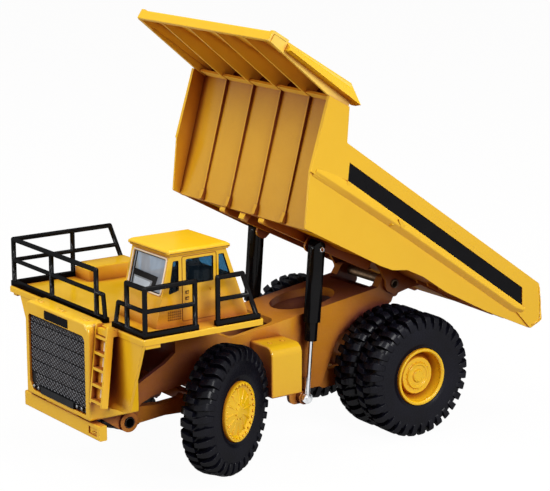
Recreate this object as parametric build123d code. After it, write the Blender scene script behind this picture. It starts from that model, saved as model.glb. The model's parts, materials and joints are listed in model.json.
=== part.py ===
from build123d import *
from math import sin, cos, tan, atan2, radians, degrees, hypot, sqrt
import os

# Die-cast scale model (1:50) of a rigid-frame mining dump truck, bed raised.
# Millimetres.  Model axes: X to the vehicle's left, Y to the rear, Z up.
# Everything is drawn with Y = 0 over the front axle, the bed lowered and the wheels straight
# ahead, heights from a datum near the ground; at the end the moving pieces are turned to their
# rest pose and the whole is shifted so that its origin is the middle of its bottom face.

# ---------------------------------------------------------------- sizes
# running gear
wheelbase = 89.4
axle_z = 24.75             # axles above the datum
tyre_d = 50.8
tyre_w = 13.4
tyre_shoulder = 2.6        # shoulder radius
rim_open_d = 22.9          # visible rim opening
dual_gap = 1.0             # between the twin tyres
rear_clear = 2.8           # frame side to the inner twin tyre
kingpin_x = 34.3
wheel_offset = 8.8         # kingpin to the outer face of the front tyre
steer_rest = 26.7          # degrees to the left at rest
spindle_d = 3.2
axle_d = 4.4               # rear wheel seat
fit = 0.05                 # running clearance, each side
gap = 0.3                  # between pieces of different bodies

# chassis frame
frame_w = 32.0
frame_wall = 2.0
frame_bottom = 18.6
frame_top_front = (17.0, 45.4)     # y, z of the top flange
frame_top_rear = (92.0, 56.0)
frame_tail_y = 99.0
tower_w = 4.0              # rear hinge towers, each
hinge_y = 97.5             # bed hinge
hinge_z = 56.7
hinge_d = 3.8
hinge_bore = 2.2
pivot_y = -30.4            # front arm pivot
pivot_z = 20.5
pivot_d = 4.4
pivot_bore = 3.4
lug_r = 3.9

# deck
deck_w = 101.6
deck_front = -44.4
deck_rear = 9.0
deck_clear = 10.15         # front tyre to the underside of the deck
deck_t = 2.4
panel_t = 1.3              # fender panels under its front edge

# radiator housing
nose_w = 48.4
nose_front = -51.8
nose_bottom = 26.4
nose_rise = 1.1            # above the deck
nose_wall = 2.7
nose_corner = 4.0
grille_z0 = 28.4
grille_brow = 5.2          # housing above the grille
grille_depth = 1.0         # face of the mesh below the housing's face
bumper_w = 57.4
bumper_y = -50.35
bumper_t = 3.3
bumper_z0 = 19.6
bumper_h = 5.9

# ladder
ladder_w = 9.0
ladder_t = 2.7
ladder_foot = (-51.9, 34.0)        # y, z of the front edge's low end
ladder_lean = 3.3                  # the head behind the foot
ladder_rise = 1.5                  # the head above the deck
rung_n = 5

# railings
rail_d = 1.92
mid_rail_d = 1.72
rail_h = 18.3              # centre of the top rail above the deck
rail_mid_h = 9.9
right_rail_up = 0.5        # right railing taller than the left
rail_inset = 1.3
rail_foot_h = 2.0

# cab
cab_x0 = 14.9
cab_x1 = 41.0
cab_wall = 1.2
cab_h = 26.6
cab_front = (-32.6, -26.3)         # y of the front wall at its foot and at its top
cab_rear = (8.2, -1.6)
roof_h = 2.5
roof_lip = 1.2
roof_chamfer = 0.8
glass_t = 0.6

# tanks
tank_clear = 1.0           # behind the front tyre
tank_l = 14.4
tank_x1 = 31.0
tank_z0 = 22.9
tank_z1 = 43.4
tank_r = 4.0

# bed, in its own axes: u to the rear from the hinge, w up from the hinge, lowered
bed_w = 95.0
bed_wall = 1.6
bed_tip_rest = 34.6        # degrees of tip at rest
canopy_inset = 2.9         # edges of its flat sheet, inside the bed's outer faces
canopy_over = 3.0          # edges of its side wedges, beyond the bed's outer faces
web_inset = 2.5            # its side webs, inside the bed's outer faces
sheet = 1.4
rib_x = (-28.5, -9.5, 9.5, 28.5)
rib_t = 1.0
lug_t = 1.6

# hoists
hoist_x = 21.0
hoist_u = -46.9            # top pin, bed axes
hoist_w = -6.5
foot_y = 50.6              # bottom pin, chassis
foot_z = 16.5
barrel_r = 3.4
barrel_l = 29.9            # pin to open end
stage_r = 2.5
stage_out = 7.8            # stage showing at rest
rod_r = 1.05
rod_l = 29.4               # eye to hidden end
eye_r = 2.1
pin_r = 0.9


# ---------------------------------------------------------------- helpers
def outline(pts, at):
    """Closed face from (a, b) or (a, b, r) corners; at maps (a, b) to space, r rounds a corner."""
    n = len(pts)
    p = [Vector(q[0], q[1], 0) for q in pts]
    ins, mids, outs = [], [], []
    for i in range(n):
        r = pts[i][2] if len(pts[i]) > 2 else 0
        if r <= 0:
            ins.append(p[i]), mids.append(None), outs.append(p[i])
            continue
        a, b = (p[i - 1] - p[i]).normalized(), (p[(i + 1) % n] - p[i]).normalized()
        half = radians(a.get_angle(b)) / 2
        t = r / tan(half)
        c = p[i] + (a + b).normalized() * (r / sin(half))
        ins.append(p[i] + a * t)
        outs.append(p[i] + b * t)
        mids.append(c + (p[i] - c).normalized() * r)
    edges = []
    for i in range(n):
        s, e = outs[i - 1], ins[i]
        if (e - s).length > 1e-5:
            edges.append(Edge.make_line(at(s.X, s.Y), at(e.X, e.Y)))
        if mids[i] is not None:
            m, o = mids[i], outs[i]
            edges.append(Edge.make_three_point_arc(at(e.X, e.Y), at(m.X, m.Y), at(o.X, o.Y)))
    return Face(Wire(edges))


def plate_x(pts, x0, x1):
    """Side profile of (y, z, r) corners, solid from x0 to x1."""
    return Solid.extrude(outline(pts, lambda a, b: Vector(x0, a, b)), Vector(x1 - x0, 0, 0))


def plate_y(pts, y0, y1):
    """Front profile of (x, z, r) corners, solid from y0 to y1."""
    return Solid.extrude(outline(pts, lambda a, b: Vector(a, y0, b)), Vector(0, y1 - y0, 0))


def plate_z(pts, z0, z1):
    """Plan of (x, y, r) corners, solid from z0 to z1."""
    return Solid.extrude(outline(pts, lambda a, b: Vector(a, b, z0)), Vector(0, 0, z1 - z0))


def box(x0, x1, y0, y1, z0, z1):
    return Solid.make_box(x1 - x0, y1 - y0, z1 - z0).moved(Location((x0, y0, z0)))


def rod(a, b, r):
    a, b = Vector(*a), Vector(*b)
    return Solid.make_cylinder(r, (b - a).length, Plane(origin=a, z_dir=b - a))


def ball(c, r):
    return Solid.make_sphere(r, Plane(origin=Vector(*c)), -90, 90, 360)


def spin(pts, x_axis_at):
    """Ring about an axis along X through (y, z); pts are (x, radius, corner r)."""
    y, z = x_axis_at
    face = outline(pts, lambda a, b: Vector(a, y, z + b))
    return Solid.revolve(face, 360, Axis((0, y, z), (1, 0, 0)))


def fuse(first, *rest):
    out = first
    for s in rest:
        out = out + s
    return out


def rails(runs):
    """Rods end to end with a ball at every joint; runs are (diameter, points)."""
    out = None
    seen = []
    for d, run in runs:
        r = d / 2
        for a, b in zip(run, run[1:]):
            s = rod(a, b, r)
            out = s if out is None else out + s
        for q in run:
            if not any(hypot(q[0] - t[0], q[1] - t[1], q[2] - t[2]) < 0.01 for t in seen):
                seen.append(q)
                out = out + ball(q, r)
    return out


def mirror_x(s):
    return s.mirror(Plane.YZ)


def lerp(a, b, t):
    return a + (b - a) * t


tyre_r = tyre_d / 2
rim_r = rim_open_d / 2
half = frame_w / 2
rear_face_x = half + rear_clear + 2 * tyre_w + dual_gap
deck_x = deck_w / 2
deck_under = axle_z + tyre_r + deck_clear
deck_top = deck_under + deck_t
nose_top = deck_top + nose_rise
grille_z1 = nose_top - grille_brow
ladder_head = (ladder_foot[0] + ladder_lean, deck_top + ladder_rise)
rail_top, rail_mid = deck_top + rail_h, deck_top + rail_mid_h
cab_top = deck_top + cab_h
tank_y0 = tyre_r + tank_clear
nodes = {}


# ---------------------------------------------------------------- chassis frame
def frame_top(y):
    (y0, z0), (y1, z1) = frame_top_front, frame_top_rear
    return lerp(z0, z1, (y - y0) / (y1 - y0))


arch_z = 30.4              # underside over the front axle
tail_under = 42.0          # underside over the rear axle
side_profile = [           # y, z, corner radius
    (bumper_y + bumper_t, 24.3), (pivot_y - 12.4, 24.3, 2.0), (pivot_y - 3.0, pivot_z - 2.9, 1.5),
    (pivot_y + 2.6, pivot_z - 2.9, 1.5), (pivot_y + 4.2, pivot_z + 1.8, 2.0), (pivot_y + 5.4, 26.3, 2.5),
    (-18.0, 29.0, 8.0), (-5.0, arch_z + 0.4, 6.0), (8.5, arch_z, 4.0),
    (14.5, frame_bottom, 3.0), (61.1, frame_bottom, 1.0), (70.6, tail_under - 3, 2.5),
    (84.0, tail_under, 3.0), (frame_tail_y - 1.5, 48.6, 1.0), (frame_tail_y, 52.0, 0.8),
    (frame_tail_y, frame_top(90), 0.8), (90.0, frame_top(90), 0.8),
    (frame_top_front[0], frame_top_front[1], 9.0), (8.5, 50.0, 6.0), (7.0, deck_under),
    (-6.4, deck_under), (-6.6, 45.6, 3.0), (-13.4, 40.6, 8.0), (-25.7, 34.4, 8.0),
    (bumper_y + bumper_t, 31.5)]
frame = plate_x(side_profile, -half, half)
inner = half - frame_wall
frame -= box(-inner, inner, -60, 12.0, 0, deck_under - 2)
frame -= plate_x([(12.0, 0), (frame_tail_y - 2.5, 0), (frame_tail_y - 2.5, frame_top(frame_tail_y) - 4.4),
                  (12.0, frame_top(12.0) - frame_wall)], -inner, inner)
# front opening in the top flange, then the oval one
hatch_y0, hatch_y1, hatch_x = 18.3, 41.2, inner - 0.5
frame -= plate_z([(-hatch_x, hatch_y0, 3), (hatch_x, hatch_y0, 3), (hatch_x, hatch_y1, 5),
                  (-hatch_x, hatch_y1, 5)], frame_top(5) - 6, deck_under + 1)
oval_y, oval_l, oval_w = 63.3, 28.6, 22.8
oval = Face(Wire(Edge.make_ellipse(oval_w / 2, oval_l / 2, Plane(origin=(0, oval_y, 40)))))
frame -= Solid.extrude(oval, Vector(0, 0, 25))
# hinge towers at the tail, the top flange dropped between them
for s in (-1, 1):
    x0, x1 = sorted((s * half, s * (half - tower_w)))
    frame += plate_x([(88.0, frame_top(88.0) - 3), (frame_tail_y + 2.0, hinge_z - 6.5, 2.0),
                      (frame_tail_y + 2.6, hinge_z + 3.6, 3.4), (hinge_y - 4.2, hinge_z + 3.6, 3.4)], x0, x1)
frame -= box(-(half - tower_w), half - tower_w, 86.5, frame_tail_y + 5, frame_top(86.5) - 3.6, 80)
frame -= rod((-half - 1, hinge_y, hinge_z), (half + 1, hinge_y, hinge_z), hinge_d / 2 + 0.01)
# front pivot lugs, cross beams, hoist feet
lug_x = half + 1.2
foot_boss = 2.9            # round the hoist's bottom pin, clear of the lowered barrel
for s in (-1, 1):
    frame += rod((s * (half - frame_wall), pivot_y, pivot_z), (s * lug_x, pivot_y, pivot_z), lug_r)
    x0, x1 = sorted((s * (half - 0.5), s * (hoist_x - barrel_r - gap)))
    frame += plate_x([(foot_y - 7.0, frame_bottom + 5, 1.0), (foot_y - 5.6, foot_z - 2.9, 2.8),
                      (foot_y + 3.0, foot_z - 3.0, 2.9), (foot_y + 5.5, frame_bottom + 5, 1.0)], x0, x1)
    frame += rod((s * (half - 0.5), foot_y, foot_z), (s * (hoist_x - 1.0 - gap), foot_y, foot_z), foot_boss)
frame += box(-half, half, bumper_y + bumper_t, bumper_y + bumper_t + 2.0, bumper_z0 + 1.0, nose_bottom)
frame += box(-half, half, -8.6, -6.6, arch_z + 1.4, deck_under)
frame += box(-half, half, 58.0, 60.0, frame_bottom, frame_bottom + 16.0)
frame -= rod((-half - 9, pivot_y, pivot_z), (half + 9, pivot_y, pivot_z), pivot_d / 2 + 0.01)
nodes["chassis_frame"] = frame
nodes["front_pivot_tube"] = (rod((-lug_x - 0.3, pivot_y, pivot_z), (lug_x + 0.3, pivot_y, pivot_z), pivot_d / 2)
                             - rod((-lug_x - 1, pivot_y, pivot_z), (lug_x + 1, pivot_y, pivot_z), pivot_bore / 2))

# ---------------------------------------------------------------- axles
arm_in, arm_out = half - 6.4, half - frame_wall - 0.2
eye_h = 9.0                # kingpin height
beam = plate_y([(-kingpin_x + 3.4, axle_z - 2.0, 1), (kingpin_x - 3.4, axle_z - 2.0, 1),
                (kingpin_x - 3.4, axle_z + 2.2, 1), (-kingpin_x + 3.4, axle_z + 2.2, 1)], -3.4, 0.2)
for s in (-1, 1):
    for z0, z1 in ((axle_z - eye_h / 2 - 1.6, axle_z - eye_h / 2), (axle_z + eye_h / 2, axle_z + eye_h / 2 + 1.6)):
        beam += plate_z([(s * (kingpin_x - 5.6), -2.2), (s * (kingpin_x + 2.2), -2.2, 2.1),
                         (s * (kingpin_x + 2.2), 2.2, 2.1), (s * (kingpin_x - 5.6), 2.2)][::s], z0, z1)
    x0, x1 = sorted((s * (kingpin_x - 5.6), s * (kingpin_x - 3.2)))
    beam += box(x0, x1, -2.2, 2.2, axle_z - eye_h / 2 - 1.6, axle_z + eye_h / 2 + 1.6)
    beam -= rod((s * kingpin_x, 0, axle_z - 9), (s * kingpin_x, 0, axle_z + 9), 1.0 + 0.01)
    x0, x1 = sorted((s * arm_in, s * arm_out))
    beam += plate_x([(pivot_y - 3.2, pivot_z - 3.2, 2.7), (-12.4, 19.2, 9.0), (0.6, axle_z - 6.2, 2.0),
                     (1.6, axle_z + 1.6, 1.0), (-3.0, axle_z + 1.6, 1.5), (-5.0, axle_z - 0.3, 2.0),
                     (-13.7, 23.9, 6.0), (pivot_y + 4.0, pivot_z + 4.4, 3.0),
                     (pivot_y - 3.2, pivot_z + 2.0, 2.6)], x0, x1)
beam += box(-arm_in, arm_in, -24.0, -20.5, 20.4, 23.6)
beam -= rod((-half - 9, pivot_y, pivot_z), (half + 9, pivot_y, pivot_z), pivot_d / 2 + 0.01)
nodes["front_axle"] = beam

rear_in = rear_face_x - 2 * tyre_w - dual_gap
rear_c = (wheelbase, axle_z)
housing = spin([(-rear_in + 1.2, 0), (-rear_in + 1.2, 4.6, 0.6), (-9, 5.2), (-6.5, 8.6, 2), (6.5, 8.6, 2),
                (9, 5.2), (rear_in - 1.2, 4.6, 0.6), (rear_in - 1.2, 0)], rear_c)
housing += rod((-rear_face_x + 6.0, *rear_c), (rear_face_x - 6.0, *rear_c), axle_d / 2)
for s in (-1, 1):
    x0, x1 = sorted((s * arm_in, s * arm_out))
    housing += plate_x([(60.0 + 0.02, frame_bottom + 0.3, 0.6), (64.0, frame_bottom - 2.0, 3.0),
                        (wheelbase + 3, axle_z - 6.0, 2.0), (wheelbase + 3, axle_z + 2.0, 2.0),
                        (78.0, 24.0, 6.0), (60.0 + 0.02, frame_bottom + 6.0, 0.6)], x0, x1)
nodes["rear_axle"] = housing

# ---------------------------------------------------------------- deck, housing, bumper
ladder_x0 = nose_w / 2 + 0.2
ladder_x1 = ladder_x0 + ladder_w
deck = plate_z([(-deck_x, deck_front, 1.2), (deck_x, deck_front, 1.2), (deck_x, deck_rear, 1.2),
                (cab_x0 - 4, deck_rear, 1.2), (cab_x0 - 4, deck_rear - 3.0, 1.2),
                (-20, deck_rear - 3.0, 1.5), (-20, deck_rear + 1.5, 1.5), (-deck_x, deck_rear + 1.5, 1.2)],
               deck_under, deck_top)
deck = fillet(deck.faces().sort_by(Axis.Z)[-1].outer_wire().edges(), 0.7)
landing_y = ladder_head[0] + 0.2
deck += box(ladder_x0, ladder_x1, landing_y, deck_front + 2, deck_under, deck_top)
for s in (-1, 1):
    x0, x1 = sorted((s * (deck_x - 0.8), s * (deck_x - 3.6)))
    deck += box(x0, x1, deck_front + 0.3 + panel_t + 0.02, deck_front + 8.0, deck_under - 1.6, deck_under)
nodes["deck"] = deck

hn = nose_w / 2
nose = plate_y([(-hn, nose_bottom, 1.0), (hn, nose_bottom, 1.0), (hn, nose_top, nose_corner),
                (-hn, nose_top, nose_corner)], nose_front, deck_front + 14)
nose = fillet(nose.faces().sort_by(Axis.Y)[0].outer_wire().edges(), 0.9)
gx = hn - nose_wall


def grille_line(e):
    """Outline of the grille opening, e inside it; its lower right corner is cut off."""
    x, z0, z1 = gx - e, grille_z0 + e, grille_z1 - e
    return [(-x + 3.0, z0, 0.6), (x, z0, 0.6), (x, z1, 2.4), (-x, z1, 1.4), (-x, z0 + 3.0, 1.0)]


nose -= plate_y(grille_line(0), nose_front - 1, nose_front + 3.4)
nose -= box(-hn + nose_wall, hn - nose_wall, nose_front + 5.4, deck_front + 20, nose_bottom - 2,
            deck_under - 1.6)
nose -= box(-hn - 1, hn + 1, deck_front, deck_front + 20, deck_under, nose_top + 1)
nose -= box(-half - 0.02, half + 0.02, deck_front + 0.2, deck_front + 20, 0, deck_under - 8)
nose -= box(-half - 0.02, half + 0.02, bumper_y + bumper_t - 0.02, deck_front + 20, 0, 31.9)
cap_n, cap_w = 3, 4.6      # flat lamp covers on top
for i in range(cap_n):
    x = lerp(-17.2, 17.2, i / (cap_n - 1))
    nose += box(x - cap_w / 2, x + cap_w / 2, nose_front + 2.2, nose_front + 3.6, nose_top - 1, nose_top + 0.4)
nodes["radiator_housing"] = nose

fit_g = 0.05
grille = plate_y(grille_line(fit_g), nose_front + grille_depth, nose_front + 3.4)
seam_n = 5
for i in range(1, seam_n + 1):
    z = lerp(grille_z0 + 2, grille_z1 + 2, i / (seam_n + 1))
    grille -= box(-gx, gx, nose_front, nose_front + grille_depth + 0.35, z - 0.2, z + 0.2)
box_w, box_h = 25.2, 2.8
grille += plate_y([(-box_w / 2, grille_z0 + 0.1, 0.3), (box_w / 2, grille_z0 + 0.1, 0.3),
                   (box_w / 2, grille_z0 + 0.1 + box_h, 0.3), (-box_w / 2, grille_z0 + 0.1 + box_h, 0.3)],
                  nose_front - 0.3, nose_front + 2)
lamp_x = (14.8, 18.4)
lamp_r = 0.85
for x in lamp_x:
    for s in (-1, 1):
        grille += rod((s * x, nose_front + 0.1, grille_z0 + 1.7), (s * x, nose_front + 2, grille_z0 + 1.7), lamp_r)
nodes["grille"] = grille
plate_w, plate_h = 17.8, 3.3
plate_z0 = grille_z1 + 0.5
nodes["name_plate_blank"] = plate_y(
    [(-plate_w / 2 + 0.4, plate_z0, 0.3), (plate_w / 2 + 0.4, plate_z0, 0.3),
     (plate_w / 2 + 0.4, plate_z0 + plate_h, 0.3), (-plate_w / 2 + 0.4, plate_z0 + plate_h, 0.3)],
    nose_front - 0.25, nose_front)

bumper = box(-bumper_w / 2, bumper_w / 2, bumper_y, bumper_y + bumper_t, bumper_z0, bumper_z0 + bumper_h)
bumper = fillet(bumper.edges().filter_by(Axis.X), 0.5)
bumper += box(-12, 12, bumper_y + 0.3, bumper_y + bumper_t, bumper_z0 + bumper_h - 1, nose_bottom)
x = bumper_w / 2 - 4.9     # step recess at the left end
bumper -= box(x - 3.0, x + 3.0, bumper_y - 1, bumper_y + 0.5, bumper_z0 + 1.5, bumper_z0 + 4.4)
nodes["bumper"] = bumper

# fender panels under the deck's front edge: plan of one, from x (foot, head)
for name, s, head, foot in (("left_fender_panel", 1, deck_x - 0.4, 39.2), ("right_fender_panel", -1, 42.3, 29.0)):
    pts = [(s * (hn + 0.02), 30.6), (s * foot, 32.2), (s * head, deck_under - 0.02),
           (s * (hn + 0.02), deck_under - 0.02)]
    nodes[name] = plate_y(pts[::s], deck_front + 0.3, deck_front + 0.3 + panel_t)

# ---------------------------------------------------------------- ladder
(fy, fz), (hy, hz) = ladder_foot, ladder_head
side = [(fy, fz, 0.3), (fy + ladder_t, fz - 0.6, 0.3), (hy + ladder_t, hz - 0.3, 0.3), (hy, hz, 0.6)]
stringer = 1.0
ladder = plate_x(side, ladder_x0, ladder_x0 + stringer) + plate_x(side, ladder_x1 - stringer, ladder_x1)
back = [(fy + ladder_t - 0.7, fz), (fy + ladder_t, fz), (hy + ladder_t, hz - 1.0), (hy + ladder_t - 0.7, hz - 1.0)]
ladder += plate_x(back, ladder_x0, ladder_x1)
for i in range(rung_n):
    t = (i + 0.12) / rung_n
    y, z = lerp(fy, hy, t), lerp(fz, hz, t)
    ladder += box(ladder_x0, ladder_x1, y + 0.1, y + ladder_t - 0.2, z, z + 1.1)
ladder -= box(0, 60, landing_y - 0.01, 0, deck_under - 0.01, deck_top + 0.01)
nodes["ladder"] = ladder

# ---------------------------------------------------------------- railings
rx = deck_x - rail_inset
ry = deck_front + rail_inset + 0.6
rz = deck_top + rail_foot_h / 2
rr = rail_d / 2
mid_y = -15.7


def foot_bar(a, b):
    """Low flange of a railing, standing on the deck."""
    x0, x1 = sorted((a[0], b[0]))
    y0, y1 = sorted((a[1], b[1]))
    e = rr + 0.1
    return box(x0 - e, x1 + e, y0 - e, y1 + e, deck_top, deck_top + rail_foot_h)


front_end, front_low = 15.2, 21.5
rt, rm = rail_top + right_rail_up, rail_mid + right_rail_up
fr = rails([
    (mid_rail_d, [(front_low, ry, rz), (front_low - 1.3, ry, rm), (-rx, ry, rm), (-rx, 4.9, rm)]),
    (rail_d, [(front_end, ry, rz), (front_end, ry, rt), (-rx, ry, rt), (-rx, 1.9, rt), (-rx, 8.4, rz)]),
    (rail_d, [(-18.9, ry, rz), (-18.9, ry, rt)]),
    (rail_d, [(-rx, ry, rz), (-rx, ry, rt)]),
    (rail_d, [(-rx, mid_y, rz), (-rx, mid_y, rt)])])
fr += foot_bar((front_low, ry), (-rx, ry)) + foot_bar((-rx, ry), (-rx, 8.6))
nodes["right_railing"] = fr - box(-60, 60, -60, 60, deck_top - 9, deck_top)
left_low, left_post = ladder_x1 - 4.6, 37.1
lf = rails([
    (mid_rail_d, [(left_low, ry, rz), (left_low + 2.4, ry, rail_mid), (rx, ry, rail_mid), (rx, -21.0, rail_mid)]),
    (rail_d, [(left_post, ry, rz), (left_post, ry, rail_top), (rx, ry, rail_top), (rx, -21.0, rail_top),
              (rx, -21.0, rz)]),
    (rail_d, [(rx, ry, rz), (rx, ry, rail_top)])])
lf += foot_bar((left_low, ry), (rx, ry)) + foot_bar((rx, ry), (rx, -21.0))
nodes["left_front_railing"] = lf - box(-60, 60, -60, 60, deck_top - 9, deck_top)
lr = rails([
    (mid_rail_d, [(rx, -11.0, rail_mid), (rx, 3.1, rail_mid)]),
    (rail_d, [(rx, -11.0, rz), (rx, -11.0, rail_top), (rx, 0.0, rail_top), (rx, 6.4, rz)])])
lr += foot_bar((rx, -11.0), (rx, 6.4))
nodes["left_rear_railing"] = lr - box(-60, 60, -60, 60, deck_top - 9, deck_top)

# ---------------------------------------------------------------- cab
def cab_y(z, ends):
    return lerp(ends[0], ends[1], (z - deck_top) / (cab_top - deck_top))


def cab_side(inset, z0, z1):
    return [(cab_y(z0, cab_front) + inset, z0), (cab_y(z0, cab_rear) - inset, z0),
            (cab_y(z1, cab_rear) - inset, z1), (cab_y(z1, cab_front) + inset, z1)]


cab = plate_x(cab_side(0, deck_top, cab_top), cab_x0, cab_x1)
cab -= plate_x(cab_side(cab_wall, deck_top - 1, cab_top + 1), cab_x0 + cab_wall, cab_x1 - cab_wall)
win_z0, win_z1 = deck_top + 14.9, deck_top + 25.0
side_windows = {           # (y, z, r) corners
    "front_quarter": [(-26.9, win_z0 - 2.6, 0.4), (-22.5, win_z0 - 1.6, 0.4), (-22.5, win_z1 - 0.4, 0.4),
                      (-24.9, win_z1 - 0.4, 0.4)],
    "door": [(-19.4, win_z0 + 0.2, 0.6), (-7.2, win_z0 + 0.2, 0.6), (-7.2, win_z1 - 0.3, 0.6),
             (-19.4, win_z1 - 0.3, 0.6)],
    "rear_quarter": [(-4.9, win_z0 + 1.0, 0.3), (0.6, win_z0 + 1.0, 0.3), (-2.6, win_z1 - 0.2, 0.3),
                     (-4.9, win_z1 - 0.2, 0.3)]}
glass = []
for pts in side_windows.values():
    for x0, x1 in ((cab_x1 - cab_wall, cab_x1), (cab_x0, cab_x0 + cab_wall)):
        cab -= plate_x(pts, x0 - 0.01, x1 + 0.01)
        mid = (x0 + x1) / 2
        glass.append(plate_x(pts, mid - glass_t / 2, mid + glass_t / 2))
wx0, wx1 = cab_x0 + 2.6, cab_x1 - 1.9
for ends, s, z0, z1 in ((cab_front, 1, deck_top + 12.4, win_z1), (cab_rear, -1, deck_top + 15.9, win_z1)):
    win = [(wx0, z0, 0.8), (wx1, z0, 0.8), (wx1, z1, 0.8), (wx0, z1, 0.8)]
    hole = plate_y(win, min(ends) - 2, max(ends) + 2)
    band = [(cab_y(z, ends) + s * d, z) for z, d in
            ((deck_top, cab_wall / 2 - glass_t / 2), (deck_top, cab_wall / 2 + glass_t / 2),
             (cab_top, cab_wall / 2 + glass_t / 2), (cab_top, cab_wall / 2 - glass_t / 2))]
    skin = [(cab_y(z, ends) + s * d, z) for z, d in
            ((deck_top, -0.5), (deck_top, cab_wall + 0.4), (cab_top, cab_wall + 0.4), (cab_top, -0.5))]
    cab -= hole & plate_x(skin, cab_x0, cab_x1)
    glass.append(hole & plate_x(band, cab_x0, cab_x1))
# door seam, a shallow groove round the door
seam_w, seam_d = 0.35, 0.3
dy0, dy1, dz0, dz1 = -21.2, -5.8, deck_top + 1.2, cab_top - 0.6
seam = plate_x([(dy0, dz0, 0.8), (dy1, dz0, 0.8), (dy1, dz1, 0.8), (dy0, dz1, 0.8)], cab_x1 - seam_d, cab_x1 + 1)
seam -= plate_x([(dy0 + seam_w, dz0 + seam_w, 0.6), (dy1 - seam_w, dz0 + seam_w, 0.6),
                 (dy1 - seam_w, dz1 - seam_w, 0.6), (dy0 + seam_w, dz1 - seam_w, 0.6)], cab_x1 - 2, cab_x1 + 2)
cab -= seam
nodes["cab"] = cab
nodes["cab_glass"] = Compound(children=[g if isinstance(g, Solid) else g.solids()[0] for g in glass])

y0, y1 = cab_front[1] - roof_lip, cab_rear[1] + roof_lip
x0, x1 = cab_x0 - roof_lip, cab_x1 + roof_lip


def ring(z, d):
    return Wire.make_polygon([Vector(x0 + d, y0 + d, z), Vector(x1 - d, y0 + d, z),
                              Vector(x1 - d, y1 - d, z), Vector(x0 + d, y1 - d, z)])


# a narrower drip moulding under a slab with a chamfered top edge
moulding, drip = 0.6, 0.45
slab_top = cab_top + roof_h
roof = box(x0 + drip, x1 - drip, y0 + drip, y1 - drip, cab_top, cab_top + moulding)
roof += box(x0, x1, y0, y1, cab_top + moulding, slab_top - roof_chamfer)
roof += Solid.make_loft([ring(slab_top - roof_chamfer, 0), ring(slab_top, roof_chamfer * 1.3)], True)
nodes["cab_roof"] = roof

seat_x = (cab_x0 + cab_x1) / 2 + 1.5
seat = plate_x([(-17.0, deck_top, 0.6), (-8.5, deck_top, 0.6), (-6.6, deck_top + 19.9, 1.2),
                (-9.0, deck_top + 20.1, 1.2), (-10.6, deck_top + 10.9, 1.5), (-17.0, deck_top + 10.5, 1.5)],
               seat_x - 4.4, seat_x + 4.4)
dash = plate_x([(-29.0, deck_top, 0.5), (-25.6, deck_top, 0.5), (-25.0, deck_top + 11.3, 0.8),
                (-27.9, deck_top + 13.9, 0.8)], cab_x0 + cab_wall + 0.6, cab_x1 - cab_wall - 0.6)
nodes["cab_seat"] = seat
nodes["cab_dash"] = dash
wheel_c = Vector(seat_x, -21.6, deck_top + 14.9)
tilt = Vector(0, -0.55, 0.84).normalized()
sw = Solid.make_torus(3.1, 0.45, Plane(origin=wheel_c, z_dir=tilt))
sw += rod(tuple(wheel_c + tilt * 0.3), tuple(wheel_c - Vector(0, 5.0, 6.4)), 0.6)
side_dir = Vector(1, 0, 0)
sw += rod(tuple(wheel_c - side_dir * 3.1), tuple(wheel_c + side_dir * 3.1), 0.4)
nodes["steering_wheel"] = sw - dash

deck_box_y0, deck_box_y1, deck_box_h = -13.0, 7.6, 6.0
step_l, step_h = 2.4, 4.4  # lower step ahead of the box
deck_box_x0 = -rx + rr + 0.15
db = box(deck_box_x0, -36.4, deck_box_y0, deck_box_y1, deck_top, deck_top + deck_box_h)
db = fillet(db.edges().filter_by(Axis.Z) + db.faces().sort_by(Axis.Z)[-1].edges(), 0.5)
nodes["deck_box"] = db + box(deck_box_x0 + 0.3, -37.0, deck_box_y0 - step_l, deck_box_y0 + 0.8,
                             deck_top, deck_top + step_h)

# ---------------------------------------------------------------- tanks
for name, s in (("left_tank", 1), ("right_tank", -1)):
    pts = [(s * (half + 0.02), tank_z0, 0), (s * tank_x1, tank_z0, 0.8), (s * tank_x1, tank_z1, tank_r),
           (s * (half + 0.02), tank_z1, 0)]
    t = plate_y(pts[::s], tank_y0, tank_y0 + tank_l)
    t = fillet(t.edges().filter_by_position(Axis.Y, tank_y0, tank_y0)
               .filter_by_position(Axis.X, *sorted((s * (half + 1), s * 60))), 0.8)
    for d in (4.2, 10.2):
        c = (s * (half + 7.6), tank_y0 + d, tank_z1 - 0.5)
        t += rod(c, (c[0], c[1], tank_z1 + 0.35), 0.9)
    nodes[name] = t


# ---------------------------------------------------------------- wheels
def tyre(x_out, s):
    """Tyre with its outer face at x_out, s = +1 on the left."""
    xi = x_out - s * tyre_w
    r_in = rim_r + 0.35
    pts = [(x_out - s * 1.2, r_in), (x_out - s * 0.5, rim_r + 1.4, 0.6), (x_out, tyre_r * 0.72, 5),
           (x_out - s * 0.9, tyre_r, tyre_shoulder), (xi + s * 0.9, tyre_r, tyre_shoulder),
           (xi, tyre_r * 0.72, 5), (xi + s * 0.5, rim_r + 1.4, 0.6), (xi + s * 1.2, r_in)]
    return pts


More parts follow.
